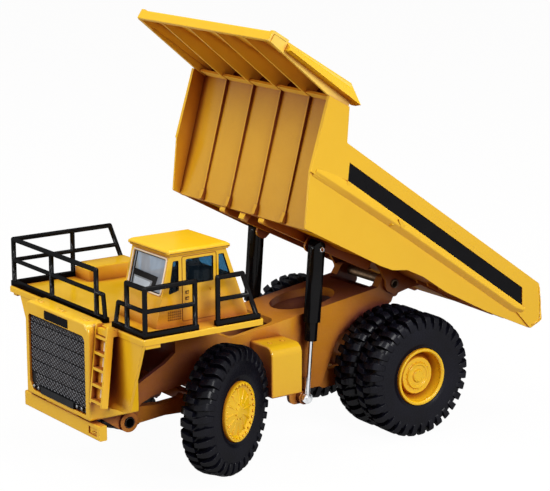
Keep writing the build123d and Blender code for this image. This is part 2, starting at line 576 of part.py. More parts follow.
for name, s in (("left", 1), ("right", -1)):
    # front wheel: spoked dish with a bolt ring, hub on the spindle
    xo = kingpin_x + wheel_offset
    c = (0, axle_z)
    ty = spin([(s * a, b, *q) for a, b, *q in tyre(xo, 1)], c)
    rim = spin([(s * a, b, *q) for a, b, *q in
                [(xo - 0.5, rim_r - 1.1), (xo - 0.1, rim_r - 0.6), (xo - 0.1, rim_r + 0.1), (xo - 0.9, rim_r + 0.35),
                 (xo - tyre_w + 0.9, rim_r + 0.35), (xo - tyre_w + 0.1, rim_r + 0.2), (xo - tyre_w + 0.1, rim_r - 0.7),
                 (xo - 3.0, rim_r - 1.0), (xo - 2.6, 5.0), (xo - 5.6, 4.2), (xo - 5.6, spindle_d / 2 + fit),
                 (xo - 0.9, spindle_d / 2 + fit), (xo - 0.9, 0), (xo + 0.2, 0), (xo + 0.2, 2.0), (xo - 0.5, 3.2),
                 (xo - 1.2, rim_r - 2.4)]], c)
    bolt_n, spoke_n = 24, 12
    for i in range(spoke_n):
        a = radians(360 / spoke_n * i)
        p = (s * (xo - 0.75), 2.4 * cos(a), axle_z + 2.4 * sin(a))
        q = (s * (xo - 1.2), (rim_r - 2.2) * cos(a), axle_z + (rim_r - 2.2) * sin(a))
        rim += rod(p, q, 0.42)
    nodes[f"front_rim_{name}"] = rim
    nodes[f"front_tyre_{name}"] = ty
    # knuckle: kingpin barrel between the axle's ears, pin through them, spindle and steering arm
    kz0, kz1 = axle_z - eye_h / 2 + 0.1, axle_z + eye_h / 2 - 0.1
    kn = rod((s * kingpin_x, 0, kz0), (s * kingpin_x, 0, kz1), 2.3)
    kn += rod((s * kingpin_x, 0, kz0 - 1.9), (s * kingpin_x, 0, kz1 + 1.9), 1.0 - fit)
    kn += rod((s * kingpin_x, 0, axle_z), (s * (xo - 1.1), 0, axle_z), spindle_d / 2)
    nodes[f"knuckle_{name}"] = kn
    # rear twin wheel
    xo = rear_face_x
    rim = spin([(s * a, b, *q) for a, b, *q in
                [(xo - 0.7, rim_r - 1.2), (xo - 0.1, rim_r - 0.7), (xo - 0.1, rim_r + 0.1), (xo - 0.9, rim_r + 0.35),
                 (xo - tyre_w + 0.6, rim_r + 0.35), (xo - tyre_w - 0.2, rim_r + 0.9),
                 (xo - tyre_w - dual_gap + 0.2, rim_r + 0.9), (xo - tyre_w - dual_gap - 0.6, rim_r + 0.35),
                 (rear_in + 0.9, rim_r + 0.35), (rear_in + 0.1, rim_r + 0.2), (rear_in + 0.1, rim_r - 0.8),
                 (xo - 9.0, rim_r - 1.4), (xo - 8.6, 6.0), (xo - 16.0, 5.0), (xo - 16.0, axle_d / 2 + fit),
                 (xo - 5.9, axle_d / 2 + fit), (xo - 5.9, 0), (xo - 2.2, 0), (xo - 2.2, 2.4), (xo - 2.9, 2.8),
                 (xo - 2.9, 4.2), (xo - 2.5, 4.5), (xo - 2.5, 5.2), (xo - 3.2, 5.6), (xo - 3.2, 7.4),
                 (xo - 4.4, 7.9), (xo - 6.4, 8.1), (xo - 6.0, 8.9), (xo - 4.2, 9.6), (xo - 1.6, 10.3)]], (wheelbase, axle_z))
    nodes[f"rear_rims_{name}"] = rim
    for which, x in (("outer", xo), ("inner", xo - tyre_w - dual_gap)):
        nodes[f"rear_tyre_{which}_{name}"] = spin([(s * a, b, *q) for a, b, *q in tyre(x, 1)],
                                                  (wheelbase, axle_z))


# ---------------------------------------------------------------- bed, drawn lowered
def bp(u, w, *r):
    return (hinge_y + u, hinge_z + w, *r)


bx = bed_w / 2
floor_line = [(-75.8, -7.7), (-34.3, -2.9), (-28.0, -1.6), (-21.5, 1.8), (-12.6, 3.2), (1.9, 3.4),
              (26.6, 6.5), (52.0, 11.1)]     # underside of the side walls, u and w
rim_w = 28.9
head = [(-75.8, -7.7), (-86.4, 11.3), (-95.3, 39.6)]     # front edge of the side walls
post_top = (-84.6, 40.8)
wall = [bp(*floor_line[0], 0.6)] + [bp(u, w, r) for (u, w), r in
                                    zip(floor_line[1:-1], (2, 3, 3, 3, 3, 3))]
wall += [bp(*floor_line[-1], 2.0), bp(55.6, 17.0, 1.2), bp(44.9, rim_w, 1.5), bp(-77.6, rim_w, 0.8),
         bp(*post_top), bp(*head[2]), bp(*head[1], 0.6)]
band_w0, band_w1 = 16.9, 23.2     # recessed stripe band
band_u0, band_u1 = -72.2, 37.4
band_d = 0.6
tub = None
for s in (-1, 1):
    side_wall = plate_x(wall, s * (bx - bed_wall), s * bx)
    # lower panel steps in under the crease, top rail thickened outwards
    crease = [bp(-90, -15), bp(60, -15), bp(60, 9.4), bp(40.0, 13.6), bp(-30.6, 13.3), bp(-90, 11.4)]
    side_wall -= plate_x(crease, s * (bx - 0.7), s * (bx + 1))
    side_wall -= plate_x([bp(band_u0, band_w1), bp(band_u0 + 3.4, band_w0), bp(band_u1 + 4.6, band_w0),
                          bp(band_u1, band_w1)], s * (bx - band_d), s * (bx + 1))
    ledge = plate_x([bp(-69.0, band_w0 - 1.4), bp(43.4, band_w0 - 1.4), bp(43.0, band_w0), bp(-69.6, band_w0)],
                    s * (bx - 0.2), s * (bx + 0.7))
    side_wall = side_wall + ledge
    side_wall += plate_x([bp(-39.4, band_w0 - 1.0), bp(-36.0, band_w0 - 3.2), bp(-34.6, band_w0 - 1.0)],
                         s * (bx - 0.2), s * (bx + 1.6))
    tub = side_wall if tub is None else tub + side_wall
floor_lift, floor_t = 1.5, 1.3
lo = [bp(u, w + floor_lift) for u, w in floor_line]
hi = [bp(u, w + floor_lift + floor_t) for u, w in floor_line][::-1]
tub += plate_x(lo + hi, -(bx - bed_wall / 2), bx - bed_wall / 2)
skid_x = (-40.0, -33.0, -26.0, 26.0, 33.0, 40.0)     # long ribs under the tail's floor
skid_t, skid_h = 0.9, 1.3
for x in skid_x:
    (u0, w0), (u1, w1) = floor_line[5], floor_line[6]
    (u2, w2) = floor_line[7]
    end = (u2 - 1.5, lerp(w1, w2, (u2 - 1.5 - u1) / (u2 - u1)))
    tub += plate_x([bp(u0, w0 + floor_lift + 0.3), bp(u0 + 2.0, w0 + floor_lift + 0.3 - skid_h),
                    bp(u1, w1 + floor_lift - skid_h), bp(end[0] - 1.5, end[1] + floor_lift - skid_h),
                    bp(end[0], end[1] + floor_lift + 0.3), bp(u1, w1 + floor_lift + 0.3)],
                   x - skid_t / 2, x + skid_t / 2)
# headboard, set back between the side walls, with upright ribs
panel = [(-72.4, -7.4), (-89.2, 40.4)]
panel_head = (-87.3, 48.3)  # the panel's top, bent back to the canopy's rear edge
rib_depth = (0.7, 1.3)      # foot and head
pf = [bp(*q) for q in panel]
pb = [bp(u + sheet, w) for u, w in panel][::-1]
nodes["bed_headboard"] = None
board = plate_x(pf + pb, -(bx - bed_wall), bx - bed_wall)
board += plate_x([bp(*panel[1]), bp(*panel_head), bp(panel_head[0] + sheet, panel_head[1]),
                  bp(panel[1][0] + sheet, panel[1][1] - 0.3)], -(bx - canopy_inset - 0.4), bx - canopy_inset - 0.4)
for x in rib_x:
    board += plate_x([bp(u - d, w) for (u, w), d in zip(panel, rib_depth)] + pb, x - rib_t / 2, x + rib_t / 2)
    board += plate_x([bp(-74.2, -7.4), bp(-71.8, -7.4), bp(-73.4, -3.4), bp(-74.9, -3.4)], x - 1.0, x + 1.0)
tub -= plate_x([bp(-100, -20), bp(*panel[0]), bp(*panel[1]), bp(-100, 40.4)], -(bx - bed_wall), bx - bed_wall)
tub -= board
nodes["bed_tub"] = tub
nodes["bed_headboard"] = board

# canopy: top sheet, front lip, tapering ribs below, wedge-shaped sides sloping down, a pocket at
# each front corner
cu0, cu1 = -130.4, -86.8
cw0, cw1 = 46.8, 49.4
cx = bx - canopy_inset
fx = bx + canopy_over
lip_low = 42.9
rib_end = -93.0


def canopy_top(u):
    return lerp(cw0, cw1, (u - cu0) / (cu1 - cu0))


def canopy_low(u):
    return lerp(lip_low, 39.6, (u - cu0) / (rib_end - cu0))


canopy = plate_x([bp(cu0, cw0 - sheet), bp(cu1, cw1 - sheet), bp(cu1, cw1), bp(cu0, cw0, 0.8)], -cx, cx)
canopy += plate_x([bp(cu0, lip_low, 0.3), bp(cu0 + 1.6, lip_low), bp(cu0 + 1.6, cw0 - 0.4), bp(cu0, cw0 - 0.8)],
                  -cx, cx)
for x in rib_x:
    canopy += plate_x([bp(cu0 + 1, canopy_low(cu0 + 1)), bp(rib_end, canopy_low(rib_end)),
                       bp(-88.5, canopy_low(rib_end)), bp(-87.0, cw1 - 0.9),
                       bp(cu0 + 1, canopy_top(cu0 + 1) - 0.4)], x - rib_t / 2, x + rib_t / 2)
canopy += plate_x([bp(-93.1, 39.9), bp(-88.7, 39.9), bp(-88.7, 40.8), bp(-93.1, 40.8)], -cx, cx)
web_t, web_x = 1.4, bx - web_inset   # side web, above the bed's side wall
pocket_u, pocket_t = -122.2, 1.7
wedge_low = (43.2, 42.5)   # its underside, front and rear
wedge_edge = (43.7, 43.1)
for s in (-1, 1):
    canopy += plate_x([bp(cu0 + 1, canopy_low(cu0 + 1)), bp(rib_end, canopy_low(rib_end)),
                       bp(-84.4, canopy_low(rib_end)), bp(-84.4, 41.6), bp(-87.6, cw1 - 0.9),
                       bp(cu0 + 1, canopy_top(cu0 + 1) - 0.9)], s * web_x, s * (web_x + web_t))
    pocket = plate_x([bp(cu0, lip_low, 0.4), bp(pocket_u, 42.2), bp(pocket_u, canopy_top(pocket_u) + 0.45),
                      bp(cu0, cw0 + 0.45, 0.6)], s * (cx - 0.4), s * (cx - 0.4 + pocket_t))
    pocket -= plate_x([bp(cu0 + 1.0, lip_low + 0.7), bp(pocket_u - 1.0, 43.1), bp(pocket_u - 1.0, cw0 - 0.2),
                       bp(cu0 + 1.0, cw0 - 0.6)], s * (cx - 0.4 + pocket_t - 0.9), s * (fx + 1))
    canopy += pocket

    def section(lean, u, top, edge, low):
        """Cross section of the side wedge, its plane leaning back by lean below the top."""
        pts = [(cx - 0.3, top), (cx, top), (fx - 0.3, edge + 0.35), (fx, edge), (web_x + 2.0, low),
               (cx - 0.3, low)]
        return Wire.make_polygon([Vector(s * a, hinge_y + u + (top - b) * lean, hinge_z + b) for a, b in pts])

    canopy += Solid.make_loft([
        section(0.0, pocket_u - 0.3, canopy_top(pocket_u - 0.3), wedge_edge[0], wedge_low[0]),
        section(0.72, cu1 - 0.2, canopy_top(cu1 - 0.2), wedge_edge[1], wedge_low[1])], True)
canopy -= board
for s in (-1, 1):
    canopy -= plate_x(wall, s * (bx - bed_wall - 0.01), s * (bx + 0.01))
nodes["bed_canopy"] = max(canopy.solids(), key=lambda q: q.volume)

for name, s in (("left_stripe", 1), ("right_stripe", -1)):
    e = 0.05
    nodes[name] = plate_x([bp(band_u0 + e, band_w1 - e), bp(band_u0 + 3.4 + e, band_w0 + e),
                           bp(band_u1 + 4.6 - e, band_w0 + e), bp(band_u1 - e, band_w1 - e)],
                          s * (bx - band_d), s * (bx - band_d + 0.2))

# rails under the floor that lie on the frame when the bed is down, hinge lugs and hoist ears
bed_rest = 0.5             # rail above the frame with the bed down
rail_x0, rail_x1 = half - 4.2, half - 0.6


def floor_under(u):
    for (u0, w0), (u1, w1) in zip(floor_line, floor_line[1:]):
        if u0 <= u <= u1:
            return lerp(w0, w1, (u - u0) / (u1 - u0)) + floor_lift
    return floor_line[-1][1]


def rail_low(u):
    return frame_top(hinge_y + u) + bed_rest - hinge_z


ru0, ru1 = -72.0, -14.0
rails_bed = None
for s in (-1, 1):
    x0, x1 = sorted((s * rail_x0, s * rail_x1))
    cut = [u for u, w in floor_line if ru0 < u < ru1]
    pts = [bp(ru0, rail_low(ru0), 1.0), bp(ru1, rail_low(ru1), 1.0), bp(ru1, floor_under(ru1))]
    pts += [bp(u, floor_under(u)) for u in cut[::-1]] + [bp(ru0, floor_under(ru0))]
    r = plate_x(pts, x0, x1)
    # hinge lug: outside the frame, tapering back along the floor
    x0, x1 = sorted((s * (half + 0.2), s * (half + 0.2 + lug_t)))
    lug = [bp(-4.4, -1.0, 3.2), bp(-2.8, -4.3, 3.0), bp(2.6, -4.0, 3.2), bp(8.6, 2.4, 2.0),
           bp(13.4, floor_under(13.4)), bp(1.9, floor_under(1.9)), bp(-12.6, floor_under(-12.6)),
           bp(-16.0, floor_under(-16.0))]
    r += plate_x(lug, x0, x1)
    r -= rod((x0 - 1, hinge_y, hinge_z), (x1 + 1, hinge_y, hinge_z), hinge_d / 2 + fit)
    # cross web joins rail and lug
    xa, xb = sorted((s * rail_x0, s * (half + 0.2 + lug_t)))
    r += plate_x([bp(-22.0, floor_under(-22.0) - 1.2), bp(-12.0, floor_under(-12.0) - 1.2),
                  bp(-12.0, floor_under(-12.0)), bp(-12.6, floor_under(-12.6)), bp(-21.5, floor_under(-21.5)),
                  bp(-22.0, floor_under(-22.0))], xa, xb)
    # hoist ear inside the barrel, with a front web
    xa, xb = sorted((s * (half + 0.2), s * (hoist_x - barrel_r - gap)))
    ear = [bp(hoist_u - 3.4, floor_under(hoist_u - 3.4)), bp(hoist_u - 2.6, hoist_w - 2.6, 2.4),
           bp(hoist_u + 2.6, hoist_w - 2.6, 2.4), bp(hoist_u + 4.4, floor_under(hoist_u + 4.4))]
    r += plate_x(ear, xa, xb)
    xa, xb = sorted((s * rail_x0, s * (hoist_x - barrel_r - gap)))
    r += plate_x([bp(hoist_u - 3.4, floor_under(hoist_u - 3.4) - 1.0), bp(hoist_u + 4.2, floor_under(hoist_u + 4.2) - 1.0),
                  bp(hoist_u + 4.4, floor_under(hoist_u + 4.4)), bp(hoist_u - 3.4, floor_under(hoist_u - 3.4))], xa, xb)
    pin = (hinge_y + hoist_u, hinge_z + hoist_w)
    r += rod((s * (half + 0.4), *pin), (s * (hoist_x + barrel_r + 0.5), *pin), pin_r)
    rails_bed = r if rails_bed is None else rails_bed + r
nodes["bed_subframe"] = rails_bed - board
nodes["bed_hinge_tube"] = (rod((-half - lug_t - 0.6, hinge_y, hinge_z), (half + lug_t + 0.6, hinge_y, hinge_z), hinge_d / 2)
                           - rod((-half - 9, hinge_y, hinge_z), (half + 9, hinge_y, hinge_z), hinge_bore / 2))

# ---------------------------------------------------------------- rest pose of the bed, and hoists
bed_axis = Axis((0, hinge_y, hinge_z), (1, 0, 0))
bed_nodes = ("bed_tub", "bed_headboard", "bed_canopy", "left_stripe", "right_stripe", "bed_subframe")
for n in bed_nodes:
    nodes[n] = nodes[n].rotate(bed_axis, -bed_tip_rest)
a = radians(bed_tip_rest)
top_y = hinge_y + hoist_u * cos(a) + hoist_w * sin(a)
top_z = hinge_z - hoist_u * sin(a) + hoist_w * cos(a)
length = hypot(top_y - foot_y, top_z - foot_z)
d = Vector(0, foot_y - top_y, foot_z - top_z) / length


def along(x, t):
    p = Vector(x, top_y, top_z) + d * t
    return (p.X, p.Y, p.Z)


for name, s in (("left", 1), ("right", -1)):
    x = s * hoist_x
    bore_from = 3.2
    barrel = rod(along(x, 0), along(x, barrel_l), barrel_r)
    cap = rod((x - barrel_r, top_y, top_z), (x + barrel_r, top_y, top_z), barrel_r - 0.5)
    barrel = barrel + (cap & rod(along(x, -6), along(x, 3), barrel_r))
    barrel -= rod(along(x, bore_from), along(x, barrel_l + 1), stage_r + 0.08)
    barrel -= rod((x - 9, top_y, top_z), (x + 9, top_y, top_z), pin_r + fit)
    nodes[f"hoist_barrel_{name}"] = barrel
    stage_end = barrel_l + stage_out
    st = rod(along(x, stage_end - 26.0), along(x, stage_end), stage_r)
    st -= rod(along(x, stage_end - 27.0), along(x, stage_end + 1), rod_r + 0.08)
    nodes[f"hoist_stage_{name}"] = st
    rd = rod(along(x, length - rod_l), along(x, length), rod_r)
    rd += rod((x - 1.0, foot_y, foot_z), (x + 1.0, foot_y, foot_z), eye_r)
    rd += rod((x - s * 0.9, foot_y, foot_z), (x + s * 1.5, foot_y, foot_z), pin_r)
    nodes[f"hoist_rod_{name}"] = rd

# ---------------------------------------------------------------- steering at rest
for name, s in (("left", 1), ("right", -1)):
    ax = Axis((s * kingpin_x, 0, 0), (0, 0, 1))
    for n in ("front_rim_", "front_tyre_", "knuckle_"):
        nodes[n + name] = nodes[n + name].rotate(ax, steer_rest)

# ---------------------------------------------------------------- origin and export
ends = [(b.min.Y, b.max.Y) for b in (s.bounding_box() for s in nodes.values())]
origin_y = (min(e[0] for e in ends) + max(e[1] for e in ends)) / 2
os.makedirs("parts", exist_ok=True)
for n, s in nodes.items():
    export_step(s.moved(Location((0, -origin_y, tyre_r - axle_z))), f"parts/{n}.step")
print("origin y", round(origin_y, 4), "hoist", round(length, 3), round(top_y, 3), round(top_z, 3))
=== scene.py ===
import json
import math

import bmesh
import bpy
from mathutils import Matrix, Vector
from mathutils.bvhtree import BVHTree


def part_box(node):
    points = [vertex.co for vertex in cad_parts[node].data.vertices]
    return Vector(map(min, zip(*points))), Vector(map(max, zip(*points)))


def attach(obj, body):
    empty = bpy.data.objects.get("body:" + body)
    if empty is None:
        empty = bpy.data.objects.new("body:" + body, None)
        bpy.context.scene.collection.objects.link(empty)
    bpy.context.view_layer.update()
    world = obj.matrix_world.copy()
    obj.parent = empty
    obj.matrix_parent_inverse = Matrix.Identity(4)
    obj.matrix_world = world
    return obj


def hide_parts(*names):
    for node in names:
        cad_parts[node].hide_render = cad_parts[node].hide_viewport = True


# Looks of a 1:50 die-cast mining dump truck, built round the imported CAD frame.
# Lengths below are written in millimetres and turned into metres with MM.
MM = 0.001
WHITE = (1.0, 1.0, 1.0)
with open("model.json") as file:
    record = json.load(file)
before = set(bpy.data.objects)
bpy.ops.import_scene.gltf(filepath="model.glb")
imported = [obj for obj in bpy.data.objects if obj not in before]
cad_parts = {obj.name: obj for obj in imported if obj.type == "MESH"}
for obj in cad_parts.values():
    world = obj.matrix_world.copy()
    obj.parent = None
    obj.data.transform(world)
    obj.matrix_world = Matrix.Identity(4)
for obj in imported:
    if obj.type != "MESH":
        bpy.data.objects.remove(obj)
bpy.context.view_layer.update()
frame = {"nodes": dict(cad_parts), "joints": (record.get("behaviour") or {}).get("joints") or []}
NODES = frame["nodes"]
JOINTS = {j["name"]: j for j in frame["joints"]}


# ------------------------------------------------------------------ material helpers
class Nodes:
    """Short calls for the nodes and links of a tree."""

    def __init__(self, tree):
        self.tree = tree

    def node(self, kind, **values):
        """New node, with its settings or inputs given by name."""
        n = self.tree.nodes.new(kind)
        for k, v in values.items():
            if hasattr(n, k) and k not in n.inputs:
                setattr(n, k, v)
            else:
                n.inputs[k].default_value = v
        return n

    def link(self, a, b):
        self.tree.links.new(a, b)

    def feed(self, socket, value):
        """Gives an input a number, a colour or another node's output."""
        if isinstance(value, (int, float)):
            socket.default_value = value
        elif isinstance(value, tuple):
            socket.default_value = (*value, 1)
        else:
            self.link(value, socket)

    def coords(self):
        return self.node("ShaderNodeTexCoord").outputs["Object"]

    def noise(self, scale, detail=3.0, rough=0.5, coords=None):
        """Noise of scale waves per metre."""
        n = self.node("ShaderNodeTexNoise", Scale=scale, Detail=detail, Roughness=rough)
        self.link(coords or self.coords(), n.inputs["Vector"])
        return n.outputs["Fac"]

    def ramp(self, fac, stops):
        """Colours along fac, from stops of (position, colour)."""
        r = self.node("ShaderNodeValToRGB")
        elements = r.color_ramp.elements
        while len(elements) < len(stops):
            elements.new(0.5)
        for e, (position, colour) in zip(elements, stops):
            e.position = position
            e.color = (*colour, 1)
        self.link(fac, r.inputs["Fac"])
        return r.outputs["Color"]

    def map_range(self, fac, low, high, to_low, to_high):
        """Maps fac from low..high to to_low..to_high."""
        m = self.node("ShaderNodeMapRange")
        for name, v in (("From Min", low), ("From Max", high), ("To Min", to_low), ("To Max", to_high)):
            m.inputs[name].default_value = v
        self.link(fac, m.inputs["Value"])
        return m.outputs["Result"]

    def mix(self, fac, a, b, blend="MIX"):
        """Mixes two colours."""
        m = self.node("ShaderNodeMix", data_type="RGBA", blend_type=blend)
        for socket, value in ((m.inputs[0], fac), (m.inputs[6], a), (m.inputs[7], b)):
            self.feed(socket, value)
        return m.outputs[2]

    def math(self, op, a, b):
        """Works out one number from two."""
        m = self.node("ShaderNodeMath", operation=op)
        self.feed(m.inputs[0], a)
        self.feed(m.inputs[1], b)
        return m.outputs[0]

    def bump(self, height, strength, distance, normal=None):
        """Normal tilted by a height map that rises distance metres, over another normal."""
        b = self.node("ShaderNodeBump", Strength=strength, Distance=distance)
        self.link(height, b.inputs["Height"])
        if normal is not None:
            self.link(normal, b.inputs["Normal"])
        return b.outputs["Normal"]


class Mat(Nodes):
    """A node material, with its base shader and its output."""

    def __init__(self, name):
        self.mat = bpy.data.materials.new(name)
        self.mat.use_nodes = True
        super().__init__(self.mat.node_tree)
        self.bsdf = self.tree.nodes["Principled BSDF"]
        self.out = self.tree.nodes["Material Output"]

    def set(self, **values):
        """Sets the base shader's inputs by name."""
        for name, value in values.items():
            self.feed(self.bsdf.inputs[name.replace("_", " ")], value)

    def surface(self, fac, a, b):
        """Mixes two shaders into the material's surface."""
        m = self.node("ShaderNodeMixShader")
        self.feed(m.inputs[0], fac)
        self.link(a, m.inputs[1])
        self.link(b, m.inputs[2])
        self.link(m.outputs[0], self.out.inputs["Surface"])


def clear_coat(m, share, rough, normal=None):
    """Lays an even clear layer over the base shader, the same at every angle."""
    m.set(Specular_IOR_Level=0.0)
    g = m.node("ShaderNodeBsdfGlossy")
    m.feed(g.inputs["Color"], WHITE)
    m.feed(g.inputs["Roughness"], rough)
    if normal is not None:
        m.link(normal, g.inputs["Normal"])
    m.surface(share, m.bsdf.outputs[0], g.outputs[0])


# Painted shade: what paint is darkened by in its tightest corners
CORNER_SHADE = (0.62, 0.38, 0.5)      # what paint is multiplied by in its tightest corners


def openness(m, reach, samples=8):
    """How open the surface is, 0 in a tight hollow and 1 in the clear."""
    return m.node("ShaderNodeAmbientOcclusion", samples=samples, Distance=reach * MM).outputs["AO"]


def paint(name, base, pale, warm, depth_shade, near=6.0, far=45.0):
    """Thick sprayed enamel on a casting, cloudy between base and pale, with a skin of fine orange peel.

    Painted shade: hollows up to far mm across are tinted by warm, their depths by the deeper shade tint;
    corners within near mm are painted darker, and the clear coat reflects less in hollows.
    """
    rough, share = 0.2, 0.04
    m = Mat(name)
    co = m.coords()
    cloud = m.noise(90.0, 3.0, 0.55, co)
    tone = m.mix(m.map_range(cloud, 0.35, 0.7, 0.0, 0.5), base, pale)
    # Painted shade: the tone darkens with how closed in the surface is, in wide hollows and in tight corners
    room = openness(m, far, 12)
    wide = m.ramp(room, [(0.16, depth_shade), (0.50, warm), (0.84, WHITE)])
    tone = m.mix(1.0, tone, wide, "MULTIPLY")
    tight = m.ramp(openness(m, near), [(0.25, CORNER_SHADE), (0.85, WHITE)])
    tone = m.mix(1.0, tone, tight, "MULTIPLY")
    peel = m.noise(1400.0, 2.0, 0.5, co)
    lumps = m.noise(260.0, 2.0, 0.5, co)
    n = m.bump(peel, 0.10, 0.10 * MM)
    n = m.bump(lumps, 0.12, 0.30 * MM, n)
    m.set(Base_Color=tone, Roughness=0.6, Normal=n)
    # Painted shade on the reflection: the clear coat reflects less in hollows
    coat = m.map_range(room, 0.35, 0.8, share * 0.35, share)
    clear_coat(m, coat, m.map_range(cloud, 0.3, 0.7, rough - 0.05, rough + 0.06), n)
    return m.mat


def plastic(name, base, rough=0.2, share=0.02, speck=0.004):
    """Moulded plastic or thin print, with patches paler by speck; share is how much its surface reflects."""
    m = Mat(name)
    co = m.coords()
    grain = m.noise(900.0, 3.0, 0.6, co)
    cloud = m.noise(160.0, 2.0, 0.5, co)
    worn = tuple(min(1.0, c + speck) for c in base)
    tone = m.mix(m.map_range(cloud, 0.35, 0.75, 0.0, 1.0), base, worn)
    n = m.bump(grain, 0.12, 0.08 * MM)
    m.set(Base_Color=tone, Roughness=0.6, Normal=n)
    clear_coat(m, share, m.map_range(grain, 0.3, 0.7, rough - 0.05, rough + 0.08), n)
    return m.mat


def rubber(name):
    """Dull tyre rubber, slightly blue and cloudy."""
    m = Mat(name)
    co = m.coords()
    grain = m.noise(1100.0, 4.0, 0.65, co)
    cloud = m.noise(70.0, 3.0, 0.6, co)
    dark, pale = (0.0028, 0.0028, 0.0052), (0.0064, 0.0070, 0.0135)
    tone = m.mix(m.map_range(cloud, 0.3, 0.75, 0.0, 1.0), dark, pale)
    n = m.bump(grain, 0.16, 0.08 * MM)
    m.set(Base_Color=tone, Roughness=0.7, Normal=n)
    clear_coat(m, 0.013, m.map_range(grain, 0.3, 0.75, 0.20, 0.36), n)
    return m.mat


def metal(name, base, rough):
    """Bare or plated metal with a fine grain."""
    m = Mat(name)
    grain = m.noise(500.0, 2.0, 0.5)
    tone = m.mix(m.map_range(grain, 0.3, 0.7, 0.0, 0.6), base, tuple(c * 0.72 for c in base))
    m.set(Base_Color=tone, Metallic=1.0, Roughness=m.map_range(grain, 0.3, 0.7, rough - 0.05, rough + 0.1),
          Normal=m.bump(grain, 0.06, 0.05 * MM))
    return m.mat


def pane(name, tint, painted_reflection, share):
    """Tinted clear plastic: what is behind shows through, over it a pale streaky painted reflection laid on
    as colour.
    """
    m = Mat(name)
    stretched = m.node("ShaderNodeMapping", Scale=(6.0, 6.0, 0.6))
    m.link(m.coords(), stretched.inputs["Vector"])
    streak = m.noise(60.0, 2.0, 0.5, stretched.outputs["Vector"])
    dimmer = tuple(c * 0.72 for c in painted_reflection)
    m.set(Base_Color=m.mix(m.map_range(streak, 0.35, 0.65, 0.0, 1.0), painted_reflection, dimmer), Roughness=0.5)
    clear_coat(m, 0.10, 0.06)
    coated = m.out.inputs["Surface"].links[0].from_socket
    clear = m.node("ShaderNodeBsdfTransparent")
    m.feed(clear.inputs["Color"], tint)
    m.surface(m.map_range(streak, 0.3, 0.7, share - 0.05, share + 0.05), clear.outputs[0], coated)
    return m.mat


# ------------------------------------------------------------------ materials
# Yellow enamel, with lit and shaded copies by piece that paint in the light and shade on each piece. Its
# colours are the base, its pale clouds, the painted shade of hollows and the painted shade of their depths.
ENAMEL = (0.86, 0.535, 0.012)
ENAMEL_CLOUD = (0.88, 0.565, 0.03)
YELLOW = paint("enamel_yellow", ENAMEL, ENAMEL_CLOUD, (0.74, 0.48, 1.6), (0.26, 0.13, 2.2))
# Shaded copy for the frame and the bed's underside: darker, farther-reaching painted shade
SHADED_FRAME_YELLOW = paint("enamel_yellow_frame_shaded", ENAMEL, ENAMEL_CLOUD, (0.68, 0.42, 1.5), (0.17, 0.08, 2.2),
                     far=62.0)
# Lit copy for the cab, deck, nose, ladder and bumper: lighter, shorter-reaching painted shade
LIT_CAB_YELLOW = paint("enamel_yellow_cab_lit", ENAMEL, (0.88, 0.58, 0.05), (0.80, 0.56, 1.5), (0.42, 0.24, 2.0),
                   far=20.0)
# Lit copy for the rims, their bolts and the side gussets: brighter, with little painted shade
LIT_RIM_YELLOW = paint("enamel_yellow_rim_lit", (0.88, 0.56, 0.008), (0.89, 0.59, 0.014), (0.92, 0.76, 1.4),
                   (0.66, 0.42, 1.8), near=3.0, far=9.0)
# Shaded copy for the headboard: a darker base and far-reaching tints, painted shade for the canopy's shadow
# on it
SHADED_BOARD_YELLOW = paint("enamel_yellow_board_shaded", (0.68, 0.375, 0.010), (0.70, 0.40, 0.016), (0.46, 0.25, 1.3),
                     (0.20, 0.09, 1.8), far=70.0)
# Lit copy for the canopy's underside: paler, with little painted shade, as painted light
UNDERSIDE_LIT_YELLOW = paint("enamel_yellow_under_lit", (0.93, 0.68, 0.10), (0.95, 0.74, 0.16), (1.0, 0.92, 1.2),
                     (0.86, 0.66, 1.4), near=2.5, far=16.0)
# Painted highlight: pale copy for the lids on the lamp covers
HIGHLIGHT_YELLOW = paint("enamel_yellow_highlight", (0.90, 0.66, 0.18), (0.92, 0.74, 0.34), (0.9, 0.7, 1.2),
                    (0.6, 0.4, 1.4), far=12.0)

BLACK = plastic("moulded_black", (0.0022, 0.0022, 0.003), rough=0.13, share=0.011, speck=0.002)
STRIPE = plastic("printed_black", (0.003, 0.003, 0.004), rough=0.3, share=0.008, speck=0.002)
GRILLE = plastic("grille_grey", (0.007, 0.008, 0.010), rough=0.3, share=0.02, speck=0.006)
WEAVE = plastic("grille_weave", (0.075, 0.082, 0.10), rough=0.34, share=0.022, speck=0.03)
LAMP = plastic("lamp_lens", (0.02, 0.022, 0.026), rough=0.08, share=0.16)
# Dark grey for the seat, dash and steering wheel, and as painted shade on the cab's inner faces
CAB_DARK_AND_SHADE = plastic("cab_inside_grey_and_shade", (0.004, 0.0045, 0.006), rough=0.4, share=0.008, speck=0.004)
# Black for the window seals and the windscreen band, and for painted shade pieces on the cab
SEAL_AND_SHADE = plastic("window_seal_and_shade", (0.004, 0.003, 0.003), rough=0.3, share=0.01)
# Cream as painted highlight and reflection: the windscreen's edge and the ladder's openings
CREAM_REFLECTION = plastic("cream_trim_reflection", (0.80, 0.68, 0.50), rough=0.3, share=0.04, speck=0.06)
# Painted reflection: pale grey for the card on the windscreen
REFLECTION_CARD = plastic("screen_reflection_grey", (0.42, 0.50, 0.58), rough=0.3, share=0.05, speck=0.06)
# Painted shade: brown for the dark line in the roof's groove
GROOVE_SHADE_BROWN = plastic("groove_shade_brown", (0.16, 0.05, 0.012), rough=0.5, share=0.01, speck=0.02)
RUBBER = rubber("tyre_rubber")

CHROME = metal("rod_chrome", (0.80, 0.82, 0.84), rough=0.16)
PIVOT = metal("pivot_steel", (0.05, 0.04, 0.035), rough=0.35)
RIVET = metal("rivet_steel", (0.20, 0.13, 0.08), rough=0.5)
